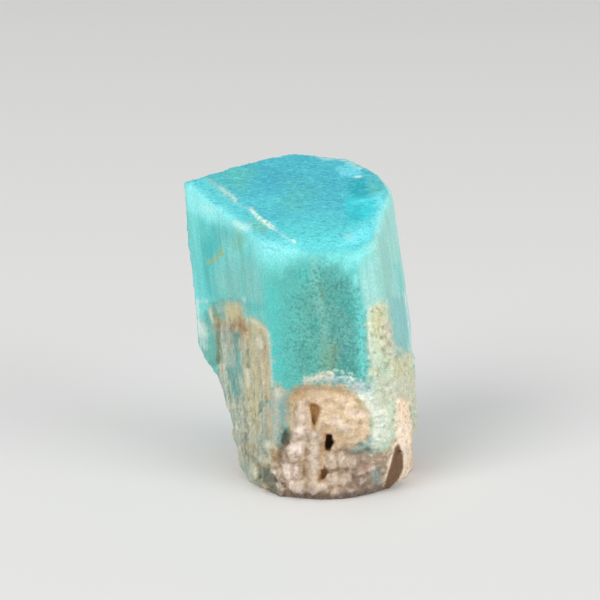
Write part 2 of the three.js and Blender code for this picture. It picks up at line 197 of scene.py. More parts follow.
class Tint(Enum):
    """The stone's colours, as 8-bit sRGB."""

    CROWN = (70, 182, 197)
    CROWN_SHADE = (58, 168, 188)
    CROWN_LEFT = (86, 203, 209)
    CROWN_GREEN = (86, 188, 176)
    CROWN_FRONT = (86, 208, 210)
    CROWN_DEEP = (4, 164, 176)
    CROWN_VIVID = (40, 206, 214)
    CROWN_CHIP = (104, 208, 222)
    CROWN_FLECK = (22, 130, 160)
    CROWN_SPECK_AND_HIGHLIGHT = (112, 226, 234)
    EDGE = (146, 240, 241)
    SEA = (104, 204, 200)
    SEA_LIGHT = (138, 230, 226)
    SEA_SHADE = (64, 184, 184)
    SEA_VIVID = (78, 206, 204)
    SEA_GREEN = (126, 186, 156)
    SEA_GREY = (136, 192, 180)
    LOBE_GREEN = (92, 176, 164)
    OLIVE = (126, 166, 134)
    OLIVE_DARK = (104, 128, 98)
    TEAL = (88, 189, 181)
    TEAL_LIGHT = (116, 222, 219)
    TEAL_VIVID = (72, 204, 200)
    TEAL_GREEN = (96, 176, 162)
    TEAL_DEEP = (78, 158, 149)
    TEAL_GREY = (98, 162, 154)
    TEAL_BLOT = (62, 164, 156)
    TEAL_SLATE = (80, 142, 148)
    TEAL_BAND = (110, 212, 208)
    TEAL_GRAIN = (52, 132, 122)
    TEAL_SPECK = (132, 196, 182)
    PALE_SEA = (158, 220, 212)
    PALE_GREEN = (140, 206, 192)
    PALE_BLUE = (134, 198, 196)
    FROST = (206, 232, 226)
    WHITE = (234, 242, 232)
    CRUMB = (222, 242, 222)
    CRUST = (199, 212, 185)
    CRUST_PINK = (212, 204, 184)
    CRUST_PALE = (216, 232, 208)
    CRUST_MOSS = (162, 180, 146)
    CRUST_GREEN = (188, 212, 186)
    CRUST_YELLOW = (208, 208, 167)
    CRUST_PIT = (112, 124, 92)
    TERRACE = (230, 234, 218)
    TERRACE_SHADE = (196, 208, 192)
    LILAC = (196, 208, 208)
    CREAM = (220, 212, 194)
    OCHRE = (178, 160, 108)
    OLIVE_TAN = (152, 184, 132)
    RED_BROWN = (172, 142, 102)
    RUST = (158, 116, 80)
    TAN = (198, 190, 148)
    TAN_DARK = (160, 148, 124)
    FIBRE_GREY = (166, 180, 168)
    FIBRE_GREEN = (132, 156, 136)
    FIBRE_MOSS = (104, 130, 104)
    FIBRE_BLUE = (96, 154, 152)
    FIBRE_BEIGE = (200, 184, 150)
    FIBRE_PALE = (216, 212, 186)
    WALL = (212, 212, 184)
    STRIP = (176, 180, 164)
    STRIP_BLUE = (116, 160, 160)
    RIM = (176, 146, 104)
    DOME = (209, 184, 151)
    DOME_LIGHT = (238, 214, 182)
    DOME_SHADE = (184, 154, 118)
    CREASE = (146, 120, 94)
    COLUMN = (211, 191, 168)
    CLOD = (154, 134, 114)
    CLOD_LIGHT = (204, 186, 164)
    CLOD_WHITE = (242, 226, 214)
    PINK = (196, 166, 152)
    PEACH = (255, 236, 212)
    PEACH_DEEP = (250, 222, 184)
    HOLLOW = (116, 86, 60)
    PIT = (170, 130, 82)
    PIT_DARK = (96, 66, 32)
    CREVICE = (90, 100, 82)
    # Near black: painted shade in a crevice, and a small dark mark.
    NEAR_BLACK = (58, 56, 40)
    MUD = (104, 98, 70)
    CREVICE_GREEN = (78, 132, 116)
    CREVICE_GREY = (118, 118, 102)
    CREVICE_BROWN = (112, 92, 72)
    FOOT_SHADE = (96, 80, 70)
    DUSK = (132, 112, 98)

    def linear(self) -> Array:
        """The linear colour that shaders use."""
        share = np.array(self.value) / 255.0
        return np.where(share <= 0.04045, share / 12.92, ((share + 0.055) / 1.055) ** 2.4)


@dataclass(frozen=True)
class Patch:
    """A natural patch of colour on the side that faces the line of sight, drawn in its elevation.

    A row of a table gives its tint, how soft its border is and how far noise frays it, both in
    millimetres, its strength and its corners. A row with one more number is a line of that width,
    open at its ends. The size is that of the fray's features, and a patch with another tint is
    mottled with a share of it, in mottles of their own size.
    """

    tint: Tint
    soft: float
    fray: float
    strength: float
    outline: Outline
    width: float = 0.0
    size: Size = (1.0, 1.0, 1.6)
    other: Tint | None = None
    mottle: Size = 0.8
    share: float = 0.5

    def depth(self, points: Array) -> Array:
        """How far inside the patch each point of the elevation is, negative outside."""
        if self.width:
            return self.width / 2 - distance_to(self.outline, points)
        return depth_in(self.outline, points)


class Look(Enum):
    """Kinds of surface that the material tells apart, each stored as a weight."""

    FLECKED = "flecked"
    CLOUDED = "clouded"
    FIBROUS = "fibrous"
    GRANULAR = "granular"
    EARTHY = "earthy"


Patches = tuple[Patch, ...]


@dataclass(frozen=True)
class Shade:
    """A colour laid where some measure passes from one value to another, with a strength."""

    tint: Tint
    start: float
    full: float
    strength: float


Shades = tuple[Shade, ...]


@dataclass(frozen=True)
class Relief:
    """Noise that raises the skin: its features' size and its height, in millimetres, and its seed.

    Streaked noise runs along the crystal's edges.
    """

    size: Size
    height: float
    seed: int
    make: Callable[..., Array] = rubble
    streaked: bool = False


class Skin:
    """The crystal's fine skin: its points, to sculpt, and their colours, to paint."""

    def __init__(self, solid: "Solid") -> None:
        """Reads a solid's points.

        Args:
            solid: The solid, finely meshed.
        """
        self.mesh = solid.piece.data
        self.count = len(self.mesh.vertices)
        self.places = np.empty((self.count, 3))
        self.mesh.vertices.foreach_get("co", self.places.ravel())
        self.ends = np.empty((len(self.mesh.edges), 2), np.int32)
        self.mesh.edges.foreach_get("vertices", self.ends.ravel())
        self.degree = np.bincount(self.ends.ravel(), minlength=self.count)[:, None]
        self.normals = np.empty((self.count, 3))
        self.tints = np.zeros((self.count, 3))
        self.looks: dict[Look, Array] = {look: np.zeros(self.count) for look in Look}
        self.measure()

    def measure(self) -> None:
        """Works out everything that follows from where the points are."""
        self.mesh.vertices.foreach_set("co", self.places.ravel())
        self.mesh.update()
        self.mesh.vertex_normals.foreach_get("vector", self.normals.ravel())
        broad = self.smoothed(self.normals, BROAD)
        self.broad = broad / np.linalg.norm(broad, axis=1)[:, None]
        self.elevation = SIGHT.elevation(self.places)
        sight = SIGHT.eye() - self.places
        sight /= np.linalg.norm(sight, axis=1)[:, None]
        self.seen = smoothstep(-0.05, 0.15, np.einsum("ij,ij->i", self.broad, sight))
        self.run = self.places + np.outer(self.places[:, 2], RUN)

    def smoothed(self, values: Array, times: int) -> Array:
        """Averages values over neighbouring points.

        Args:
            values: One row for each point.
            times: How many times to average.

        Returns:
            The averaged values.
        """
        start, end = self.ends.T
        for _ in range(times):
            total = values.copy()
            for column in range(values.shape[1]):
                total[:, column] += np.bincount(start, values[end, column], self.count)
                total[:, column] += np.bincount(end, values[start, column], self.count)
            values = total / (self.degree + 1)
        return values

    def relief(self, times: int) -> Array:
        """How far each point stands out from its neighbourhood, in millimetres."""
        offset = self.places - self.smoothed(self.places, times)
        return np.einsum("ij,ij->i", offset, self.broad)

    def push(self, amount: Array) -> None:
        """Moves each point out by its own amount, or only along the ground near it."""
        move = self.normals * amount[:, None]
        move[:, 2] *= smoothstep(0.0, 1.2, self.places[:, 2])
        self.places += move

    def rub(self, weight: Array, times: int) -> None:
        """Wears the surface smooth where it has any weight, the more so the more times."""
        self.places += weight[:, None] * (self.smoothed(self.places, times) - self.places)

    def knobs(self, knobs: Knobs, seed: int) -> Array:
        """Rounded lumps side by side, which run into one another.

        Args:
            knobs: Each lump's place and reach in the elevation, right and up, and its height.
            seed: Picks the noise that makes them uneven.

        Returns:
            How far each point stands out, in millimetres.
        """
        warps = [self.noise(self.seen, rubble, KNOB_WARP_SIZE, seed + axis) for axis in range(2)]
        places = self.elevation + KNOB_WARP * np.stack(warps, axis=1)
        total = np.ones(self.count)
        for right, up, wide, tall, size in knobs:
            offset = (places - (right, up)) / (wide, tall)
            height = size * np.maximum(0.0, 1.0 - np.einsum("ij,ij->i", offset, offset))
            total += np.expm1(height / KNOB_BLEND)
        return KNOB_BLEND * np.log(total) * self.seen

    def noise(self, weight: Array, make: Callable[..., Array], size: Size, seed: int,
              places: Array | None = None) -> Array:
        """Makes noise only where it has any weight.

        Args:
            weight: A weight for each point.
            make: The kind of noise, grain, rubble or clods.
            size: The size of its features, in millimetres.
            seed: Picks one noise among many.
            places: Where to take the noise at, or None for the points themselves.

        Returns:
            The noise times the weight.
        """
        source = self.places if places is None else places
        made = np.zeros(self.count)
        here = np.flatnonzero(weight > 0.001)
        made[here] = weight[here] * make(source[here], size, seed)
        return made

    def raised(self, weight: Array, *reliefs: Relief) -> Array:
        """How far some reliefs together stand out at each point, in millimetres."""
        total = np.zeros(self.count)
        for relief in reliefs:
            places = self.run if relief.streaked else self.places
            total += self.noise(weight, relief.make, relief.size, relief.seed, places) * relief.height
        return total

    def weigh(self, patch: Patch, seed: int = 0) -> Array:
        """How much each point belongs to a patch.

        Args:
            patch: The patch.
            seed: Picks the noise that frays it.

        Returns:
            A weight from 0 to 1 for each point.
        """
        depth = patch.depth(self.elevation)
        near = ((depth > -patch.soft - patch.fray) & (self.seen > 0)).astype(float)
        depth = depth + patch.fray * self.noise(near, rubble, patch.size, seed, self.run)
        return smoothstep(-patch.soft, patch.soft, depth) * self.seen * near

    def paint(self, weight: Array, tint: Tint) -> None:
        """Lays a colour over what is there."""
        self.tints += weight[:, None] * (tint.linear() - self.tints)

    def shade(self, weight: Array | float, measure: Array, shades: Shades) -> None:
        """Lays shades one over the other by a measure of each point."""
        for shade in shades:
            self.paint(weight * smoothstep(shade.start, shade.full, measure) * shade.strength, shade.tint)

    def lay(self, patches: Patches, seed: int) -> None:
        """Paints patches one over the other.

        Args:
            patches: The patches, in order.
            seed: Picks their noise.
        """
        for index, patch in enumerate(patches):
            weight = self.weigh(patch, seed + index) * patch.strength
            self.paint(weight, patch.tint)
            if patch.other:
                spots = self.noise(weight, rubble, patch.mottle, seed + index + 50, self.run)
                bias = 0.5 - patch.share
                self.paint(weight * smoothstep(bias - 0.2, bias + 0.4, spots), patch.other)

    def mark(self, weight: Array, *looks: Look) -> None:
        """Gives each point at least a weight of some looks."""
        for look in looks:
            self.looks[look] = np.maximum(self.looks[look], weight)

    def cover(self, weight: Array) -> None:
        """Takes the looks of bare crystal away."""
        for look in (Look.FIBROUS, Look.CLOUDED):
            self.looks[look] *= 1.0 - weight

    def write(self) -> None:
        """Stores the points, brought to metres, with their colours and looks, on the mesh."""
        self.mesh.vertices.foreach_set("co", (self.places * MM).ravel())
        colours = np.ones((self.count, 4))
        colours[:, :3] = np.clip(self.tints, 0.0, 1.0)
        tint = self.mesh.color_attributes.new("tint", "FLOAT_COLOR", "POINT")
        tint.data.foreach_set("color", colours.ravel())
        for look, values in self.looks.items():
            stored = self.mesh.attributes.new(look.value, "FLOAT", "POINT")
            stored.data.foreach_set("value", np.clip(values, 0.0, 1.0))
        self.mesh.shade_smooth()
        self.mesh.update()


# Solids


@dataclass(frozen=True)
class Face:
    """A flat face: a point on it and its outward normal."""

    point: Vector
    normal: Vector

    def sunk(self, depth: float) -> "Face":
        """The same face moved in by a depth."""
        return Face(self.point - self.normal * depth, self.normal)

    def beyond(self, places: Array) -> Array:
        """How far outside the face each place is, in millimetres."""
        return (places - np.array(self.point)) @ np.array(self.normal)


def put(name: str, data: bpy.types.ID) -> bpy.types.Object:
    """Adds an object with its data to the scene."""
    made = bpy.data.objects.new(name, data)
    bpy.context.scene.collection.objects.link(made)
    return made


class Solid:
    """A closed mesh under construction, in millimetres."""

    def __init__(self, name: str, bm: bmesh.types.BMesh) -> None:
        """Makes an object of a bmesh, which is freed.

        Args:
            name: The object's name.
            bm: The closed mesh.
        """
        bmesh.ops.recalc_face_normals(bm, faces=bm.faces)
        mesh = bpy.data.meshes.new(name)
        bm.to_mesh(mesh)
        bm.free()
        self.piece = put(name, mesh)

    @classmethod
    def hull(cls, name: str, points: list[Vector], bevel: float = 0.0) -> "Solid":
        """Wraps a flat-faced skin round some points.

        Args:
            name: The solid's name.
            points: The points to wrap.
            bevel: How wide to bevel the edges.

        Returns:
            The solid.
        """
        bm = bmesh.new()
        for point in points:
            bm.verts.new(point)
        made = bmesh.ops.convex_hull(bm, input=bm.verts)
        spare = {vert for key in ("geom_interior", "geom_unused") for vert in made[key]}
        loose = [vert for vert in spare if isinstance(vert, bmesh.types.BMVert)]
        bmesh.ops.delete(bm, geom=loose, context="VERTS")
        bmesh.ops.dissolve_limit(bm, angle_limit=math.radians(0.5), verts=bm.verts, edges=bm.edges)
        if bevel:
            bmesh.ops.bevel(bm, geom=list(bm.edges), offset=bevel, segments=2, profile=0.5,
                            affect="EDGES", material=-1, clamp_overlap=True)
        return cls(name, bm)

    @classmethod
    def drawn_through(cls, name: str, outline: Outline, near: float, far: float) -> "Solid":
        """Draws an outline in front elevation (x, z) through from one y to a further one.

        Args:
            name: The solid's name.
            outline: The outline's corners, in order.
            near: The y of its near end.
            far: The y of its far end.

        Returns:
            The solid.
        """
        bm = bmesh.new()
        face = bm.faces.new([bm.verts.new((x, near, z)) for x, z in outline])
        moved = bmesh.ops.extrude_face_region(bm, geom=[face])["geom"]
        ends = [item for item in moved if isinstance(item, bmesh.types.BMVert)]
        bmesh.ops.translate(bm, verts=ends, vec=(0, far - near, 0))
        return cls(name, bm)

    @classmethod
    def outside(cls, name: str, face: Face) -> "Solid":
        """Everything outside a face."""
        bm = bmesh.new()
        bmesh.ops.create_cube(bm, size=REACH)
        bmesh.ops.translate(bm, verts=bm.verts, vec=(0, 0, REACH / 2))
        turn = Vector((0, 0, 1)).rotation_difference(face.normal).to_matrix().to_4x4()
        bmesh.ops.transform(bm, matrix=Matrix.Translation(face.point) @ turn, verts=bm.verts)
        return cls(name, bm)

    def turned(self, angle: float, about: Vector) -> "Solid":
        """Turns the solid about an upright line through a point."""
        pivot = Matrix.Translation(about)
        self.piece.data.transform(pivot @ Matrix.Rotation(angle, 4, "Z") @ pivot.inverted())
        return self

    def combine(self, others: list["Solid"], operation: str) -> "Solid":
        """Joins, cuts or intersects with other solids, which are used up.

        Args:
            others: The other solids.
            operation: UNION, DIFFERENCE or INTERSECT.

        Returns:
            This solid.
        """
        for other in others:
            step = self.piece.modifiers.new(operation.lower(), "BOOLEAN")
            step.operation = operation
            step.solver = "EXACT"
            step.object = other.piece
        self.bake()
        for other in others:
            other.discard()
        return self

    def remesh(self, voxel: float) -> "Solid":
        """Skins the solid again with small even faces."""
        step = self.piece.modifiers.new("skin", "REMESH")
        step.mode = "VOXEL"
        step.voxel_size = voxel
        step.adaptivity = 0.0
        self.bake()
        return self

    def bake(self) -> None:
        """Applies the modifiers to the mesh."""
        graph = bpy.context.evaluated_depsgraph_get()
        graph.update()
        mesh = bpy.data.meshes.new_from_object(self.piece.evaluated_get(graph))
        self.piece.modifiers.clear()
        spent = self.piece.data
        self.piece.data = mesh
        bpy.data.meshes.remove(spent)

    def discard(self) -> None:
        """Removes the solid."""
        spent = self.piece.data
        bpy.data.objects.remove(self.piece)
        bpy.data.meshes.remove(spent)


# The crystal's form


@dataclass(frozen=True)
class Corner:
    """A corner of the crown: its plan, how its edge runs right going down, and its wear."""

    x: float
    y: float
    lean: float
    worn: float


@dataclass
class Prism:
    """The leaning prism with its sloping crown, before anything broke off it."""

    crown_slope: float = math.radians(19.5)
    crown_front: Pair = (-11.3, 42.7)
    crown_middle: Pair = (-1.0, 3.0)
    backward_lean: float = 0.114
    rounded_below: float = 8.0
    edge_bevel: float = 0.25
    right_side: tuple[Triple, ...] = ((19.0, 3.3, 24.5), (20.0, 1.6, 8.2), (20.0, 1.6, 0.0))
    footprint: Outline = (
        (-8.6, -7.9), (-6.2, -11.3), (-3.8, -14.7), (-0.6, -16.1), (3.4, -16.5),
        (7.4, -15.9), (11.0, -13.9), (15.2, -10.6), (18.0, -5.0), (19.2, 0.0),
    )
    corners: dict[str, Corner] = field(default_factory=lambda: {
        "left": Corner(-20.4, 7.9, 0.088, 0.3),
        "left_bend": Corner(-6.5, -9.85, 0.065, 1.3),
        "front": Corner(2.4, -11.5, 0.088, 2.4),
        "front_right": Corner(9.0, -10.6, 0.1165, 2.8),
        "right_front": Corner(12.4, -7.4, 0.13, 2.4),
        "right": Corner(15.5, 5.9, 0.15, 0.6),
        "right_back": Corner(12.9, 10.8, 0.135, 0.7),
        "back_right": Corner(7.9, 14.9, 0.12, 0.7),
        "back": Corner(-1.1, 16.4, 0.1, 0.5),
        "back_left": Corner(-5.3, 15.3, 0.09, 0.5),
    })

    def crown_height(self, y: float) -> float:
        """The height of the unworn crown at a distance back."""
        return self.crown_front[1] + math.tan(self.crown_slope) * (y - self.crown_front[0])

    def crown(self) -> Face:
        """The plane of the crown."""
        up = Vector((0, -math.sin(self.crown_slope), math.cos(self.crown_slope)))
        return Face(Vector((0, *self.crown_front)), up)

    def on_edge(self, name: str, z: float) -> Vector:
        """The point at a height on the edge below a corner."""
        corner = self.corners[name]
        drop = self.crown_height(corner.y) - z
        return Vector((corner.x + corner.lean * drop, corner.y - self.backward_lean * drop, z))

    def top(self, name: str) -> Vector:
        """The unworn corner itself."""
        return self.on_edge(name, self.crown_height(self.corners[name].y))

    def side(self, left: str, right: str) -> Face:
        """The side face between two neighbouring corners, the second anticlockwise from above."""
        across = self.top(right) - self.top(left)
        down = (self.on_edge(left, 0) + self.on_edge(right, 0)) / 2 - self.top(left)
        return Face(self.top(left), down.cross(across).normalized())

    def worn_corner(self, name: str) -> list[Vector]:
        """Three points that round a corner off: in on the crown, between, and down the edge."""
        corner = self.corners[name]
        plan = Vector((corner.x, corner.y))
        inward = (Vector(self.crown_middle) - plan).normalized() * corner.worn
        x, y = plan + inward
        on_crown = Vector((x, y, self.crown_height(y)))
        sharp = self.top(name)
        down = self.on_edge(name, sharp.z - corner.worn)
        between = on_crown.lerp(down, 0.5).lerp(sharp, 0.35)
        return [on_crown, between, down]

    def build(self) -> Solid:
        """Makes the prism."""
        points = [point for name in self.corners for point in self.worn_corner(name)]
        in_foot = ("front", "front_right", "right_front")
        for name in self.corners:
            if name != "right":
                points.append(self.on_edge(name, self.rounded_below if name in in_foot else 0.0))
        points += [Vector((x, y, 0)) for x, y in self.footprint[4:]]
        points += [Vector(point) for point in self.right_side]
        return Solid.hull("prism", points, self.edge_bevel)


CRUMBS: Patches = (
    Patch(Tint.CRUMB, 0.3, 0.35, 1.0, ((-8.3, 15.3), (-6.8, 13.9), (-4.9, 12.4)), 0.6, size=0.5),
    Patch(Tint.CRUMB, 0.25, 0.1, 1.0, ((-1.1, 10.1), (-0.9, 9.9)), 0.4),
    Patch(Tint.FROST, 0.2, 0.1, 0.7, ((-4.9, 12.4), (-3.2, 11.2), (-1.4, 10)), 0.25),
    Patch(Tint.FROST, 0.35, 0.3, 0.25, ((-10.9, 16.7), (-9.7, 16), (-8.5, 15.3)), 0.35),
)
CROWN_PATCHES: Patches = (
    Patch(Tint.CROWN_SHADE, 2.4, 1.6, 0.6, ((-11.6, 22.8), (0, 25.2), (8.8, 23.8), (8.5, 20.4), (3.4, 17.7),
        (-6.5, 18.7), (-13.3, 20.4))),
    Patch(Tint.CROWN_FRONT, 2.6, 1.2, 1.0, ((-6.5, 12.2), (0, 13.9), (7.7, 13.3), (12.9, 15), (17, 17.7),
        (17.7, 6.5), (-6.5, 6.5))),
    Patch(Tint.CROWN_FRONT, 1.4, 1.2, 0.4, ((-10.9, 17.7), (-6.5, 17.3), (-1.4, 16), (-5.1, 15), (-9.2, 16)),
        size=(2.0, 0.6, 0.6)),
    Patch(Tint.CROWN_LEFT, 0.6, 0.3, 1.0, ((-20.4, 19.7), (-16, 20.9), (-13.3, 19), (-8.5, 15.1), (-1, 9.9),
        (-6.5, 9.5), (-15.3, 15.6), (-20.4, 17.7))),
    Patch(Tint.CROWN_GREEN, 1.6, 1.8, 0.75, ((-15.3, 22.8), (-10.2, 23.8), (-7.5, 21.8), (-9.5, 18.4),
        (-12.9, 19.4)), size=(1.2, 0.8, 0.8)),
    Patch(Tint.CROWN_GREEN, 1.6, 2.0, 0.5, ((-1.7, 20.4), (3.1, 19.4), (2, 16.3), (-1.4, 14.6), (-3.4, 17)),
        size=(1.2, 0.8, 0.8)),
    Patch(Tint.CROWN_GREEN, 1.0, 1.0, 0.7, ((10.9, 21.1), (13.3, 20.7), (15, 18.7), (13.9, 17.3),
        (11.6, 17.7)), size=(1.2, 0.6, 0.6)),
    Patch(Tint.CROWN_DEEP, 0.9, 0.9, 0.95, ((8, 20.6), (10.9, 20.6), (11.6, 18.7), (11.9, 17.2), (8.5, 17),
        (8.5, 18.4)), size=(1.6, 0.5, 0.5)),
    Patch(Tint.CROWN_VIVID, 0.8, 0.7, 0.95, ((7.8, 17.2), (12.2, 17.5), (12.9, 15.6), (11.6, 13.6),
        (8.2, 13.3)), size=(2.0, 0.5, 0.5)),
    Patch(Tint.CROWN_DEEP, 0.8, 0.9, 0.45, ((8.8, 16.2), (10.5, 16), (10.2, 13.8), (8.5, 13.8)),
        size=(1.6, 0.5, 0.5)),
    # A painted highlight across the crown's right front, and a thin line of it behind.
    Patch(Tint.CROWN_SPECK_AND_HIGHLIGHT, 1.0, 0.6, 0.9, ((12.2, 17.3), (14.6, 18.7), (14.6, 16), (13.6, 11.6), (11.2, 9.9),
        (6.8, 9.2), (8.8, 11.6), (11.9, 13.3), (13.3, 15.6))),
    Patch(Tint.CROWN_SPECK_AND_HIGHLIGHT, 0.3, 0.2, 0.6, ((8.8, 16.5), (11.2, 17), (13.6, 17.5)), 0.3),
    Patch(Tint.CROWN_CHIP, 0.4, 0.4, 1.0, ((6.1, 22.4), (8.2, 23.3), (10.2, 22.4), (10.7, 21.4), (9.5, 20.9),
        (7.1, 21.1))),
    Patch(Tint.FROST, 0.15, 0.08, 0.9, ((9.4, 20.9), (10.4, 21)), 0.3),
    Patch(Tint.CROWN_FLECK, 0.2, 0.2, 0.6, ((8.2, 20.7), (10.5, 20.6)), 0.25),
    Patch(Tint.FROST, 0.4, 0.35, 0.6, ((2.2, 24.7), (4.4, 24.1), (6.5, 24.2), (8.5, 23.4), (10.2, 22.4)),
        0.5, size=0.8),
    Patch(Tint.SEA_GREY, 0.45, 0.3, 0.75, ((-16.3, 20.9), (-15.3, 20.7), (-13.3, 19.4), (-10.9, 17.3),
        (-10.5, 16.7), (-11.6, 16.7), (-13.6, 18.4), (-15.6, 19.9)), size=0.6),
    Patch(Tint.FROST, 0.5, 0.4, 0.6, ((-13.3, 18.9), (-12.1, 18), (-10.9, 17)), 0.5, size=0.5),
    Patch(Tint.CROWN_SHADE, 0.6, 0.5, 0.5, ((-12.6, 20.2), (-12.1, 19.7)), 0.5),
    Patch(Tint.SEA_GREEN, 0.5, 0.3, 0.5, ((-9, 13.9), (-6.5, 13.3), (-4.8, 11.7), (-6.5, 11.1),
        (-8.5, 11.9))),
)


@dataclass
class Crown:
    """The sloping crown: a thin sheet missing from its left, crumbs along the step, and a chip."""

    step_depth: float = 0.2
    step_back: Pair = (-16.55, 8.6)
    step_front: Pair = (-0.7, -9.9)
    chip_middle: Triple = (10.2, 15.2, 53.0)
    chip_radius: float = 3.0
    chip_flatness: float = 0.6
    edge_tilt: Pair = (0.72, 0.93)
    edge_drop: Pair = (-2.6, -1.4)
    swell: Relief = Relief((5.0, 3.0, 3.0), 0.05, 1, grain)
    ripple: Relief = Relief((2.0, 0.5, 0.5), 0.025, 2, grain)
    crumbling: Relief = Relief(0.55, 0.28, 3, clods)
    cloud_size: Size = (6.0, 3.0, 3.0)
    clouds: Shades = (Shade(Tint.CROWN_FRONT, 0.05, 0.6, 0.4), Shade(Tint.CROWN_SHADE, -0.05, -0.6, 0.5))
    crumbs: Patches = CRUMBS
    patches: Patches = CROWN_PATCHES

    def sheet(self, prism: Prism) -> Solid:
        """The cutter for the missing sheet."""
        along = Vector(self.step_front) - Vector(self.step_back)
        left = Vector((along.y, -along.x, 0)).normalized()
        middle = (Vector(self.step_front) + Vector(self.step_back)) / 2
        side = Face(Vector((middle.x, middle.y, prism.crown_height(middle.y))), left)
        above = Solid.outside("sheet", prism.crown().sunk(self.step_depth))
        return above.combine([Solid.outside("left_of_step", side)], "INTERSECT")

    def chip(self, prism: Prism) -> Solid:
        """The cutter for the shell-like chip at the back right."""
        bm = bmesh.new()
        bmesh.ops.create_icosphere(bm, subdivisions=3, radius=self.chip_radius)
        bmesh.ops.scale(bm, verts=bm.verts, vec=(1, 1, self.chip_flatness))
        bmesh.ops.rotate(bm, verts=bm.verts, matrix=Matrix.Rotation(prism.crown_slope, 3, "X"))
        bmesh.ops.translate(bm, verts=bm.verts, vec=self.chip_middle)
        return Solid("chip", bm)

    def where(self, skin: Skin, prism: Prism) -> Array:
        """How much each point belongs to the crown."""
        crown = prism.crown()
        level = smoothstep(*self.edge_tilt, skin.broad @ np.array(crown.normal))
        return level * smoothstep(*self.edge_drop, crown.beyond(skin.places))

    def sculpt(self, skin: Skin, prism: Prism) -> None:
        """Gives the crown its faint swell and the crumbs along its step."""
        here = self.where(skin, prism)
        skin.push(skin.raised(here, self.swell, self.ripple))
        for crumb in self.crumbs:
            skin.push(skin.raised(skin.weigh(crumb) * here, self.crumbling) * crumb.strength)

    def paint(self, skin: Skin, prism: Prism) -> None:
        """Colours the crown."""
        here = self.where(skin, prism)
        skin.paint(here, Tint.CROWN)
        skin.shade(1.0, skin.noise(here, rubble, self.cloud_size, 4), self.clouds)
        before = skin.tints.copy()
        skin.lay(self.patches + self.crumbs, 100)
        skin.tints = before + (skin.tints - before) * here[:, None]
        skin.looks[Look.FLECKED] = here


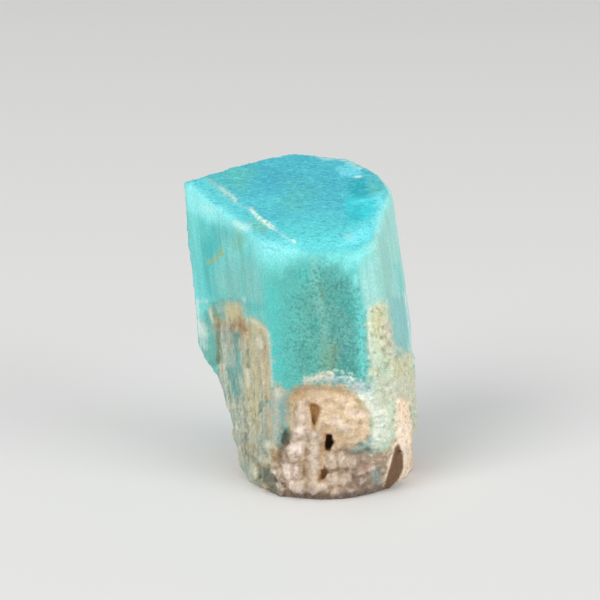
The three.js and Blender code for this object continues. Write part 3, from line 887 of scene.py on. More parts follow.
SIDE_PATCHES: Patches = (
    # The left face.
    # A painted highlight down the left silhouette, then one on the upper left corner.
    Patch(Tint.SEA_LIGHT, 1.2, 0.8, 0.5, ((-18.7, 17.9), (-18, 10.2), (-17.5, 3.4), (-17, -2.6)), 2.4,
        size=(1.0, 1.0, 8.0)),
    Patch(Tint.EDGE, 1.4, 0.7, 0.75, ((-19.4, 19), (-16.7, 17.7), (-13.6, 15.3), (-14.3, 12.9), (-17, 13.6),
        (-19, 15)), size=(0.8, 0.8, 5.0)),
    Patch(Tint.PALE_GREEN, 1.0, 0.9, 0.4, ((-13.3, 10.9), (-9.2, 10.2), (-9.5, 6.5), (-12.9, 6.5)),
        size=STREAKS),
    Patch(Tint.SEA_LIGHT, 1.0, 0.8, 0.45, ((-12.9, 10.9), (-10.9, 8.5), (-11.6, 3.7), (-12.9, 2.7),
        (-13.3, 8.5)), size=(0.8, 0.8, 5.0)),
    Patch(Tint.SEA_VIVID, 1.4, 1.1, 0.5, ((-18.4, 14.6), (-16, 13.9), (-15.3, 8.5), (-15, 1.7),
        (-16.3, -0.7), (-17.3, 1.7), (-18, 8.5)), size=(0.6, 0.6, 6.0)),
    Patch(Tint.SEA_SHADE, 0.4, 0.4, 0.8, ((-15, 14.3), (-14.7, 11.6)), 0.5, size=STREAKS),
    Patch(Tint.SEA_SHADE, 1.1, 1.1, 0.75, ((-16, 10.5), (-14.3, 11.9), (-13.6, 10.2), (-13.9, 7.1),
        (-15.5, 6.1), (-16.3, 8.5)), size=STREAKS),
    Patch(Tint.SEA_SHADE, 0.6, 0.6, 0.6, ((-16, 5.1), (-15.3, 2.7), (-15.1, 1)), 0.6, size=STREAKS),
    Patch(Tint.SEA_SHADE, 0.8, 0.7, 0.6, ((-16, 9.4), (-15.5, 5.1), (-15.1, 1.4)), 0.9,
        size=(0.5, 0.5, 5.0)),
    Patch(Tint.SEA_GREEN, 0.7, 0.5, 0.75, ((-11.1, 12.1), (-10, 12.2), (-9.7, 10.2), (-10, 8.2),
        (-10.9, 8.5)), size=(0.4, 0.4, 2.0)),
    Patch(Tint.SEA_GREY, 2.0, 1.2, 0.55, ((-13.3, 6.5), (-6.5, 6.5), (-5.8, -3.4), (-9.2, -0.7),
        (-12.6, 0.3), (-14.6, 3.4)), size=(0.8, 0.8, 4.0)),
    Patch(Tint.SEA_SHADE, 0.6, 0.5, 0.5, ((-9.2, 0), (-8.2, -1), (-6.5, -1.4)), 1.2),
    Patch(Tint.OLIVE_TAN, 0.35, 0.4, 0.95, ((-13.5, 8.5), (-13.1, 7.7)), 0.65, size=0.6),
    Patch(Tint.SEA_SHADE, 0.5, 0.6, 0.45, ((-12.6, 13.3), (-12.4, 8.5), (-12.1, 3.1)), 0.35,
        size=STREAKS),
    Patch(Tint.SEA_SHADE, 0.6, 0.6, 0.4, ((-10.2, 10.2), (-10, 6.5), (-9.7, 1.7)), 0.4,
        size=STREAKS),
    Patch(Tint.OLIVE_TAN, 0.3, 0.35, 0.95, ((-15.6, 6.5), (-15, 6.7), (-14.1, 7.2)), 0.55, size=0.6),
    # The broken lobe below it, with a painted highlight down its left, and the line above the recess, with a
    # painted shadow under its broken edge.
    Patch(Tint.SEA_GREY, 0.8, 0.5, 0.85, ((-17.2, -3.1), (-15, -3.7), (-13.8, -6.8), (-13.6, -11.6),
        (-16, -10.2), (-17.7, -6.8))),
    Patch(Tint.LOBE_GREEN, 0.7, 0.5, 0.8, ((-16, -5.6), (-14.3, -5.4), (-13.6, -7.7), (-13.4, -11.2),
        (-15, -10.9), (-16.2, -9.2), (-16.5, -7.5))),
    Patch(Tint.LOBE_GREEN, 0.4, 0.3, 0.8, ((-16, -2), (-15.5, -3.7), (-15, -4.9)), 0.6),
    Patch(Tint.CREVICE_GREEN, 0.5, 0.3, 0.6, ((-15.3, -10.5), (-14.5, -11.1), (-13.6, -10.2)), 0.6),
    # A painted highlight down the lobe's left side and the silhouette beside it.
    Patch(Tint.WHITE, 0.7, 0.5, 0.6, ((-16.8, -4.4), (-16.3, -5.8)), 0.9),
    Patch(Tint.FROST, 0.8, 0.5, 0.85, ((-17, -4.1), (-16.5, -5.8), (-16.3, -7.8)), 0.7,
        size=(0.5, 0.5, 2.5)),
    Patch(Tint.WHITE, 0.4, 0.3, 0.6, ((-17.5, 0), (-17.3, -2.7), (-17.2, -6.1)), 0.3, size=(0.5, 0.5, 2.5)),
    # A painted shadow under the broken edge above the recess, then pale crumbs along that edge, partly
    # painted highlight.
    Patch(Tint.SEA_SHADE, 0.25, 0.2, 0.7, ((-16, -0.7), (-13.3, -0.5), (-11.6, 0.3)), 0.35),
    Patch(Tint.FROST, 0.4, 0.4, 0.6, ((-17.3, -0.2), (-16, -0.3)), 0.5),
    Patch(Tint.FROST, 0.3, 0.2, 0.7, ((-9.5, 0.2), (-9.4, -0.2)), 0.5),
    # The front faces.
    Patch(Tint.TEAL_LIGHT, 3.4, 1.4, 1.0, ((-8.2, 11.6), (0, 10.9), (6.8, 11.6), (12.2, 13.3), (13.3, 7.1),
        (8.8, 5.4), (0, 7.1), (-6.5, 6.5))),
    Patch(Tint.TEAL_LIGHT, 1.4, 1.0, 0.5, ((-6.5, 7.5), (-3.1, 7.1), (-3.4, 4.1), (-6.1, 4.4))),
    Patch(Tint.TEAL_VIVID, 1.6, 1.4, 0.45, ((-6.1, 2.7), (-3.4, 1.7), (-3.6, -5.1), (-2.9, -12.2),
        (-4.4, -14.3), (-5.4, -6.8))),
    Patch(Tint.TEAL_GREEN, 1.8, 2.0, 0.7, ((0, 1.4), (3.7, 3.4), (6.1, 1.4), (5.1, -6.8), (4.4, -12.9),
        (0.7, -13.6), (-0.7, -5.1))),
    Patch(Tint.TEAL_VIVID, 0.9, 0.9, 0.5, ((-0.2, 5.4), (1.7, 5.1), (1.5, 3.2), (0, 3.4))),
    Patch(Tint.TEAL_GREY, 1.2, 1.2, 0.75, ((1.4, 0), (7.7, -0.9), (8.8, -5.1), (8.8, -8.5), (5.1, -8.8),
        (1.7, -6.1))),
    Patch(Tint.TEAL_DEEP, 0.9, 1.2, 0.9, ((4.6, 3.2), (6.5, 3.6), (7.1, 2), (6.5, -0.5), (4.9, -0.3),
        (4.2, 1.5)), size=(0.8, 0.8, 1.0)),
    Patch(Tint.TEAL_BLOT, 0.8, 1.0, 0.8, ((7.3, 0.2), (8.8, 0.3), (10, -1.4), (9.7, -3.2), (7.8, -2.9),
        (6.8, -1)), size=(0.9, 0.9, 1.0)),
    Patch(Tint.TEAL_BLOT, 0.8, 0.9, 0.7, ((1.7, -3.1), (3.4, -2.7), (3.6, -5.3), (2.2, -6)), size=0.8),
    Patch(Tint.TEAL_DEEP, 0.7, 0.9, 0.7, ((5.3, -2.9), (7.1, -3.1), (7, -5.4), (5.1, -5.3)),
        size=(0.7, 0.7, 0.8)),
    Patch(Tint.TEAL_DEEP, 0.9, 0.9, 0.5, ((0, 0.7), (1.5, 0.7), (1.4, -1.7), (0, -1.7)), size=0.8),
    Patch(Tint.TEAL_DEEP, 1.1, 1.4, 0.65, ((-0.7, -7.8), (2, -8.2), (2.4, -12.2), (-0.3, -11.9)), size=0.9),
    Patch(Tint.TEAL_SLATE, 0.7, 0.7, 0.8, ((6.1, -8), (7.8, -8.3), (7.8, -10.5), (6.1, -10.2)), size=0.6),
    Patch(Tint.TEAL_DEEP, 0.7, 0.9, 0.75, ((5.8, -9.9), (8.8, -9.5), (10, -11.9), (8.8, -13.4),
        (6.1, -13.1)), other=Tint.TEAL_GRAIN, mottle=0.38, share=0.5),
    Patch(Tint.TEAL_SPECK, 0.6, 0.5, 0.55, ((2.4, 6.5), (2.6, 2.7), (3.1, 0), (3.9, -3.1), (4.1, -6.1)), 1.1,
        size=(0.5, 0.5, 1.4)),
    Patch(Tint.OLIVE, 0.8, 1.0, 0.7, ((4.1, -7.1), (5.8, -6.8), (6.5, -8.8), (6.1, -11.9), (4.1, -13.1),
        (3.2, -10.9)), size=(0.5, 0.5, 0.7)),
    Patch(Tint.OLIVE_DARK, 0.25, 0.5, 0.75, ((6.1, -7.5), (6, -8.8), (5.8, -10.4), (5.3, -11.9)), 0.4,
        size=0.4),
    Patch(Tint.OLIVE_DARK, 0.3, 0.4, 0.65, ((3.4, 2.7), (3.6, 1.5), (4.1, 0.2)), 0.35, size=0.4),
    Patch(Tint.FROST, 0.15, 0.7, 0.75, ((6.3, -12), (7.3, -12.2), (8.8, -12.9)), 0.3, size=0.35),
    Patch(Tint.TEAL_LIGHT, 1.0, 0.6, 0.6, ((8.5, 7.1), (10.2, 6.5), (10, 2.6), (8.7, 1.7), (8, 4.4))),
    # A painted highlight on the front right edge.
    Patch(Tint.EDGE, 0.4, 0.2, 0.8, ((9.4, 3.9), (9.7, 2.4)), 0.45),
    Patch(Tint.TEAL_BAND, 0.8, 0.6, 0.8, ((9, 1.4), (10.5, 1.7), (11.2, -5.1), (11.6, -13.3), (10.2, -13.3),
        (9.7, -6.8), (9.5, -3.1)), size=(0.8, 0.8, 1.6)),
    # The grey strip between the recess and the rock.
    Patch(Tint.STRIP, 0.55, 0.5, 0.95, ((-5.1, -15), (-3.9, -14.1), (-2.4, -15), (-1.5, -16.2), (-2.4, -18),
        (-2.7, -21.4), (-3.2, -24.8), (-4.1, -26.9), (-4.8, -25.5), (-4.8, -20.4)), other=Tint.STRIP_BLUE,
        mottle=(0.7, 0.7, 2.6), share=0.35),
    Patch(Tint.STRIP_BLUE, 0.5, 0.4, 0.75, ((-2.7, -16.7), (-2.8, -18.7), (-3.2, -21.1)), 0.9),
    Patch(Tint.FIBRE_PALE, 0.6, 0.5, 0.7, ((-4.8, -16), (-3.9, -15.3), (-3.2, -16.3), (-4.1, -17.3))),
    # The right face.
    Patch(Tint.PALE_SEA, 1.0, 0.6, 1.0, ((11.2, 10.2), (12.2, 8.5), (11.9, 1.7), (12.9, 0), (15.3, 0.7),
        (16.7, 10.9), (15.6, 17), (13.6, 14.5)), size=(0.6, 0.6, 4.0)),
    Patch(Tint.PALE_GREEN, 0.9, 0.7, 0.6, ((13.3, 10.9), (14.6, 11.6), (15.3, 6.5), (15.6, 0), (14.3, 0),
        (13.6, 5.1)), size=(0.5, 0.5, 5.0)),
    Patch(Tint.TEAL_VIVID, 0.6, 0.4, 0.5, ((16.3, 5.8), (16.8, 4.1), (17.2, 1.7)), 0.9,
        size=(0.5, 0.5, 3.0)),
    Patch(Tint.PALE_BLUE, 0.8, 0.6, 1.0, ((15.6, 0.7), (17.7, 0.7), (18.9, -4.4), (19, -8.8), (17, -9.2),
        (15.6, -6.8), (15, -3.1)), size=(0.6, 0.6, 3.0)),
    Patch(Tint.FROST, 0.35, 0.35, 0.75, ((18, 0.7), (18.7, -3.4), (19, -8.5)), 0.6, size=(0.4, 0.4, 1.5)),
)
# Painted highlights along the crown's edges with whiter cores, and also a dark hairline and a lilac mark.
EDGE_HIGHLIGHTS_AND_MARKS: Patches = (
    Patch(Tint.EDGE, 1.0, 0.3, 0.8, ((-19.7, 19.2), (-18.5, 19.7), (-17, 18.5), (-15, 16.8), (-12.9, 15.5),
        (-10.9, 13.9), (-8.7, 12.4), (-8.5, 11.7), (-10.5, 11.7), (-12.9, 12.8), (-15.6, 13.8), (-17.9, 15),
        (-19.4, 16.3)), size=2.0),
    Patch(Tint.WHITE, 1.0, 0.3, 0.3, ((-16.2, 15.8), (-14.8, 15.1)), 0.5, size=0.8),
    Patch(Tint.WHITE, 0.8, 0.3, 0.6, ((-10.9, 13.1), (-9.9, 12.6), (-9, 12.2)), 0.6, size=0.8),
    Patch(Tint.EDGE, 1.4, 0.8, 0.6, ((-8.8, 11.2), (-6.5, 10.4), (-2.7, 9.7), (-0.3, 9), (-0.7, 7.3),
        (-3.1, 6.3), (-6.5, 6.5), (-8.5, 8.5))),
    Patch(Tint.CROWN_FLECK, 0.25, 0.12, 0.5, ((-6.3, 9), (-4.9, 8.8), (-3.4, 8.3)), 0.25),
    Patch(Tint.EDGE, 0.7, 0.3, 0.7, ((15.5, 17.3), (14.3, 16), (13.4, 13.6), (13.1, 11.6)), 0.9),
    Patch(Tint.EDGE, 0.8, 0.5, 0.5, ((7.7, 5.8), (8.8, 6.8), (9.9, 7.3)), 1.2),
    Patch(Tint.LILAC, 0.6, 0.5, 0.4, ((7.7, 10.9), (8.8, 10.4)), 0.5),
)


@dataclass
class Sides:
    """The side faces, fluted along the crystal's edges."""

    swell: Relief = Relief((5.0, 5.0, 9.0), 0.12, 11, streaked=True)
    flutes: Relief = Relief((1.3, 1.3, 14.0), 0.03, 12, streaked=True)
    fine_flutes: Relief = Relief((0.5, 0.5, 5.0), 0.025, 13, grain, streaked=True)
    blend: float = 30.0
    faces: tuple[tuple[str, str, Tint], ...] = (
        ("left", "left_bend", Tint.SEA), ("left_bend", "front", Tint.TEAL),
        ("front", "front_right", Tint.TEAL_DEEP), ("front_right", "right_front", Tint.PALE_SEA),
        ("right_front", "right", Tint.PALE_SEA), ("right", "right_back", Tint.PALE_SEA),
        ("right_back", "back_right", Tint.SEA), ("back_right", "back", Tint.SEA),
        ("back", "back_left", Tint.SEA), ("back_left", "left", Tint.SEA),
    )
    patches: Patches = SIDE_PATCHES
    rubbed_times: int = 50
    chip_depth: float = 0.22
    chip_size: float = 2.2
    rubbed_edge: Patch = Patch(Tint.EDGE, 1.4, 0.3, 1.0, ((-0.5, 8.8), (5.0, 9.0), (9.0, 10.2), (12.4, 13.4),
        (14.2, 16.0), (15.2, 18.2)), 4.4)
    clouded: Patch = Patch(Tint.TEAL_GRAIN, 2.4, 1.0, 1.0, ((-2, 0), (0, 4.8), (3.7, 6.5), (7.8, 4.1),
        (10.2, 0.7), (11.6, -5.1), (11.9, -14.3), (-2.4, -14.3), (-2.7, -6.8)))
    # Painted highlights along the edges, with a few marks.
    edge_highlights_and_marks: Patches = EDGE_HIGHLIGHTS_AND_MARKS

    def sculpt(self, skin: Skin, crown: Array) -> None:
        """Makes the faces uneven, fluted on the left and right, with a rounded edge at the front."""
        here = 1.0 - crown
        edge = smoothstep(0.04, 0.16, skin.relief(FINE))
        chips = smoothstep(0.1, 0.5, skin.noise(edge, rubble, self.chip_size, 15))
        skin.push(-edge * chips * self.chip_depth)
        fluted = here * self.fluted(skin)
        skin.push(skin.raised(here, self.swell) + skin.raised(fluted, self.flutes, self.fine_flutes))
        skin.rub(skin.weigh(self.rubbed_edge, 14), self.rubbed_times)

    def fluted(self, skin: Skin) -> Array:
        """How much each point belongs to a fluted face."""
        return smoothstep(0.25, 0.75, np.abs(skin.broad[:, 0]))

    def paint(self, skin: Skin, prism: Prism) -> None:
        """Colours the faces, with painted highlights on some of their edges and rims."""
        normals = np.array([prism.side(left, right).normal for left, right, _ in self.faces])
        share = np.exp(self.blend * (skin.broad @ normals.T))
        share /= share.sum(axis=1)[:, None]
        skin.tints = share @ np.array([tint.linear() for _, _, tint in self.faces])
        skin.lay(self.patches, 200)
        skin.looks[Look.FIBROUS] = self.fluted(skin)
        skin.looks[Look.CLOUDED] = skin.weigh(self.clouded, 249)


@dataclass
class Breaks:
    """What broke away from the prism: the lower left, the back's cleavage steps and the right's ledge."""

    corner_outline: Outline = (
        (-18.1, 21.3), (-16.6, 18.9), (-14.0, 16.9), (-11.0, 10.5), (-9.1, 4.3), (-8.4, 2.2), (-5.9, -1.0),
        (-30.0, -1.0), (-30.0, 21.3),
    )
    corner_turn: float = math.radians(-12.0)
    corner_pivot: Triple = (-14.0, 3.5, 0.0)
    rear_steps: tuple[Triple, ...] = ((5.0, 8.6, 20.0), (10.0, 7.1, 8.5))
    rear_turn: float = math.radians(6.0)
    ledge_foot: Pair = (19.2, 6.6)
    ledge_turn: float = math.radians(8.0)

    def corner(self) -> Solid:
        """The cutter for the broken lower left corner."""
        bar = Solid.drawn_through("break", self.corner_outline, -REACH / 2, REACH / 2)
        return bar.turned(self.corner_turn, Vector(self.corner_pivot))

    def steps(self) -> list[Solid]:
        """The cutters for the steps at the back, each up to its own x, y and z."""
        made = []
        for index, (x, y, z) in enumerate(self.rear_steps):
            bm = bmesh.new()
            bmesh.ops.create_cube(bm, size=REACH)
            bmesh.ops.translate(bm, verts=bm.verts, vec=(x - REACH / 2, y + REACH / 2, z - REACH / 2))
            tilt = Matrix.Rotation(self.rear_turn, 4, "Z") @ Matrix.Rotation(-self.rear_turn, 4, "X")
            bmesh.ops.transform(bm, matrix=tilt, verts=bm.verts)
            made.append(Solid(f"rear_step_{index}", bm))
        return made

    def ledge(self) -> Solid:
        """The cutter that sets the lower right back under a ledge."""
        x, z = self.ledge_foot
        bm = bmesh.new()
        bmesh.ops.create_cube(bm, size=REACH)
        bmesh.ops.rotate(bm, verts=bm.verts, matrix=Matrix.Rotation(self.ledge_turn, 3, "Z"))
        bmesh.ops.translate(bm, verts=bm.verts, vec=(x + REACH / 2, 0, z - REACH / 2))
        return Solid("ledge", bm)

    def ground(self) -> Solid:
        """The cutter that leaves the foot flat."""
        return Solid.outside("ground", Face(Vector((0, 0, 0)), Vector((0, 0, -1))))


RECESS_PATCHES: Patches = (
    Patch(Tint.SEA_GREY, 0.5, 0.5, 0.9, ((-15.6, -1), (-12.6, 0), (-12.4, -3.4), (-14.6, -4.1))),
    Patch(Tint.FIBRE_PALE, 0.25, 0.2, 0.8, ((-15.3, -1.7), (-15, -3.7)), 0.35),
    Patch(Tint.TEAL_DEEP, 0.4, 0.2, 0.6, ((-16, -2.2), (-15.6, -4.1)), 0.5),
    Patch(Tint.CREVICE, 0.3, 0.35, 0.5, ((-14.6, -1), (-14.1, -2.7), (-13.3, -2.4)), 0.35, size=0.4),
    Patch(Tint.FIBRE_GREY, 0.5, 0.4, 1.0, ((-13.6, -5.1), (-11.6, -5.1), (-11.2, -17), (-11.6, -23.8),
        (-13.3, -17)), size=STREAKS, other=Tint.FIBRE_PALE, mottle=(0.35, 0.35, 2.5), share=0.4),
    Patch(Tint.FIBRE_BEIGE, 0.5, 0.4, 0.85, ((-9.7, -4.8), (-8.3, -5.1), (-8.2, -17), (-9.2, -18.7),
        (-9.9, -11.9)), size=STREAKS, other=Tint.TAN, mottle=(0.35, 0.35, 2.0), share=0.4),
    Patch(Tint.TAN, 0.5, 0.5, 0.6, ((-8.5, -5.1), (-7.1, -5.4), (-6.8, -17), (-7.5, -25.5), (-8.5, -22.1)),
        size=STREAKS),
    Patch(Tint.FIBRE_BEIGE, 0.5, 0.4, 0.9, ((-7.1, -4.4), (-5.6, -5.4), (-5.1, -11.9), (-4.9, -17),
        (-6.5, -17), (-7, -10.2)), size=STREAKS, other=Tint.FIBRE_PALE, mottle=(0.5, 0.5, 1.2),
        share=0.35),
    Patch(Tint.TAN, 0.8, 0.5, 1.0, ((-12.8, -0.9), (-10.5, -0.3), (-9.5, -2.7), (-6.8, -3.9), (-5.6, -5.8),
        (-8.2, -5.1), (-10.2, -3.4), (-12.4, -3.4))),
    Patch(Tint.SEA_GREY, 0.8, 0.6, 0.6, ((-10.2, 0), (-9.2, -1), (-8.5, -3.1), (-7.1, -3.7), (-8.5, -4.1),
        (-9.9, -2.7))),
    Patch(Tint.OCHRE, 0.4, 0.4, 0.7, ((-14.6, -2.7), (-13.8, -3.4), (-12.9, -4.2)), 0.7),
    Patch(Tint.FIBRE_PALE, 0.4, 0.3, 0.8, ((-9.2, -3.2), (-7.5, -3.7), (-6.1, -4.8), (-5.6, -6.1)), 0.5),
    Patch(Tint.RED_BROWN, 0.6, 0.9, 0.9, ((-11.9, -3.7), (-10.9, -3.4), (-10, -2.7), (-9.2, -3.7),
        (-9, -5.1), (-9.4, -6), (-10.5, -5.1), (-11.9, -4.9)), size=(0.5, 0.5, 0.6)),
    Patch(Tint.RUST, 0.4, 0.6, 0.7, ((-11.4, -4.4), (-10.2, -4.1), (-9.2, -5.1)), 0.5, size=0.4),
    Patch(Tint.RED_BROWN, 0.5, 0.6, 0.7, ((-14.6, -3.1), (-13.3, -3.7), (-13.3, -5.1), (-14.6, -4.8)),
        size=(0.7, 0.7, 0.9)),
    Patch(Tint.FIBRE_BLUE, 0.35, 0.4, 1.0, ((-10.9, -6), (-10.6, -8.8), (-10.5, -12.6)), 0.75,
        size=(0.3, 0.3, 2.4)),
    Patch(Tint.FIBRE_BLUE, 0.35, 0.45, 1.0, ((-11.9, -11.6), (-11.4, -13.9), (-10.9, -15.8)), 1.0,
        size=(0.3, 0.3, 2.0)),
    Patch(Tint.SEA_GREY, 0.8, 0.8, 0.5, ((-12.6, -8.5), (-9.5, -8.5), (-9.5, -16.3), (-12.2, -16.3)),
        size=(0.3, 0.3, 3.0)),
    Patch(Tint.FIBRE_GREEN, 0.4, 0.3, 0.6, ((-10, -16.2), (-9.7, -17.7)), 0.6),
    # A dark green line along the lobe's edge, partly a painted shadow of the step there.
    Patch(Tint.FIBRE_MOSS, 0.3, 0.3, 0.95, ((-14.1, -4.4), (-13.9, -7.7), (-13.8, -10.5)), 0.6),
    Patch(Tint.FIBRE_GREEN, 0.4, 0.3, 0.6, ((-13.8, -6.1), (-13.3, -8.8), (-12.9, -10.5)), 0.4),
    Patch(Tint.FIBRE_MOSS, 0.25, 0.3, 0.7, ((-8.9, -8.5), (-8.9, -11.4)), 0.3),
    Patch(Tint.FIBRE_PALE, 0.35, 0.4, 0.8, ((-9, -11.9), (-8.7, -14.6)), 0.8, size=(0.4, 0.4, 0.6)),
    Patch(Tint.FIBRE_MOSS, 0.4, 0.4, 0.6, ((-11.6, -5.1), (-10.5, -6.1)), 0.5),
    Patch(Tint.FIBRE_PALE, 0.4, 0.4, 0.8, ((-6.8, -6.8), (-6.6, -7.8)), 1.0),
    Patch(Tint.TAN, 0.4, 0.6, 0.9, ((-8.5, -16), (-7.1, -16.7), (-7.5, -20.1), (-8.7, -19.4)),
        size=(0.4, 0.4, 0.8), other=Tint.FIBRE_PALE, mottle=(0.4, 0.4, 0.5), share=0.45),
    Patch(Tint.FIBRE_PALE, 0.3, 0.4, 0.8, ((-9.2, -20.1), (-8.3, -21.1)), 0.7),
    Patch(Tint.FIBRE_GREY, 0.7, 0.7, 0.8, ((-12.2, -17.3), (-9.2, -17.3), (-8.5, -23.8), (-10.2, -23.8),
        (-11.2, -21.2)), other=Tint.FIBRE_PALE, mottle=(0.6, 0.6, 1.0), share=0.45),
    Patch(Tint.FIBRE_GREEN, 0.4, 0.3, 0.5, ((-6.5, -17.3), (-6.1, -20.4), (-6, -23.8)), 0.5),
    Patch(Tint.FIBRE_BEIGE, 0.4, 0.3, 0.8, ((-5.4, -18.7), (-5.3, -23)), 0.8),
    Patch(Tint.FIBRE_PALE, 0.5, 0.5, 0.85, ((-5.8, -24.5), (-4.9, -25)), 1.1),
    Patch(Tint.MUD, 0.4, 0.4, 0.9, ((-9.1, -22.8), (-9.4, -25), (-9.2, -27.2)), 0.5, size=(0.4, 0.4, 1.2)),
    Patch(Tint.RED_BROWN, 0.3, 0.4, 0.7, ((-8.2, -24.8), (-7.3, -25.3)), 0.6),
    Patch(Tint.TAN_DARK, 0.6, 0.7, 0.7, ((-8.5, -25.2), (-7.1, -25.5), (-7.1, -28.2), (-8.5, -27.9)),
        other=Tint.FIBRE_PALE, mottle=(0.6, 0.6, 0.8), share=0.4),
    Patch(Tint.FIBRE_GREY, 0.5, 0.5, 0.8, ((-7.1, -23.8), (-6, -24.1), (-6, -28.2), (-7, -28.2))),
    Patch(Tint.FIBRE_PALE, 0.6, 0.7, 0.65, ((-8.7, -27.5), (-7.5, -27.9), (-7.3, -30.9), (-8.3, -30.6)),
        other=Tint.FIBRE_BEIGE, mottle=(0.5, 0.5, 0.7), share=0.5),
    Patch(Tint.TAN_DARK, 0.4, 0.5, 0.95, ((-7.5, -27.4), (-6.5, -27.5), (-6.5, -30.3), (-7.3, -30.3))),
    Patch(Tint.FIBRE_PALE, 0.5, 0.4, 0.7, ((-5.8, -24), (-4.8, -24.1), (-4.9, -25.8), (-5.6, -26.4))),
    Patch(Tint.FIBRE_BEIGE, 0.5, 0.6, 0.7, ((-6.5, -26.5), (-5.1, -26.9), (-5.1, -28.6), (-6.3, -28.4)),
        other=Tint.TAN_DARK, mottle=(0.5, 0.5, 0.6), share=0.4),
    Patch(Tint.CREVICE_GREY, 0.5, 0.5, 0.8, ((-7.5, -30.6), (-5.8, -30.9), (-5.4, -32.6), (-7.1, -32))),
    Patch(Tint.FIBRE_GREY, 0.5, 0.4, 0.7, ((-10.2, -25.8), (-9.2, -27.5), (-7.8, -30.3), (-8.5, -31.6),
        (-10.2, -28.9))),
)
RECESS_BORDERS: Patches = (
    # A cream line down the recess's right wall, partly a painted highlight where the wall catches the light.
    Patch(Tint.WALL, 0.25, 0.15, 0.85, ((-7.1, -3.6), (-6.1, -4.6), (-5.4, -6.1), (-5.2, -8.5), (-5, -11.6),
        (-4.8, -14.6)), 0.32),
    Patch(Tint.FIBRE_BLUE, 0.45, 0.5, 0.45, ((-10.9, -6.3), (-10.6, -8.8), (-10.5, -12.2)), 0.4,
        size=(0.3, 0.3, 2.0)),
    Patch(Tint.FIBRE_BLUE, 0.45, 0.5, 0.45, ((-11.9, -11.9), (-11.4, -13.9), (-10.9, -15.6)), 0.5,
        size=(0.3, 0.3, 2.0)),
    Patch(Tint.FIBRE_MOSS, 0.3, 0.3, 0.6, ((-8.9, -8.5), (-8.8, -11.4)), 0.25),
    Patch(Tint.CREAM, 0.4, 0.4, 0.6, ((-9, -12.2), (-8.8, -14.3)), 0.5, size=(0.4, 0.4, 0.8)),
    Patch(Tint.CREAM, 0.5, 0.4, 0.6, ((-7, -6.8), (-6.8, -8)), 0.7, size=(0.4, 0.4, 0.8)),
)


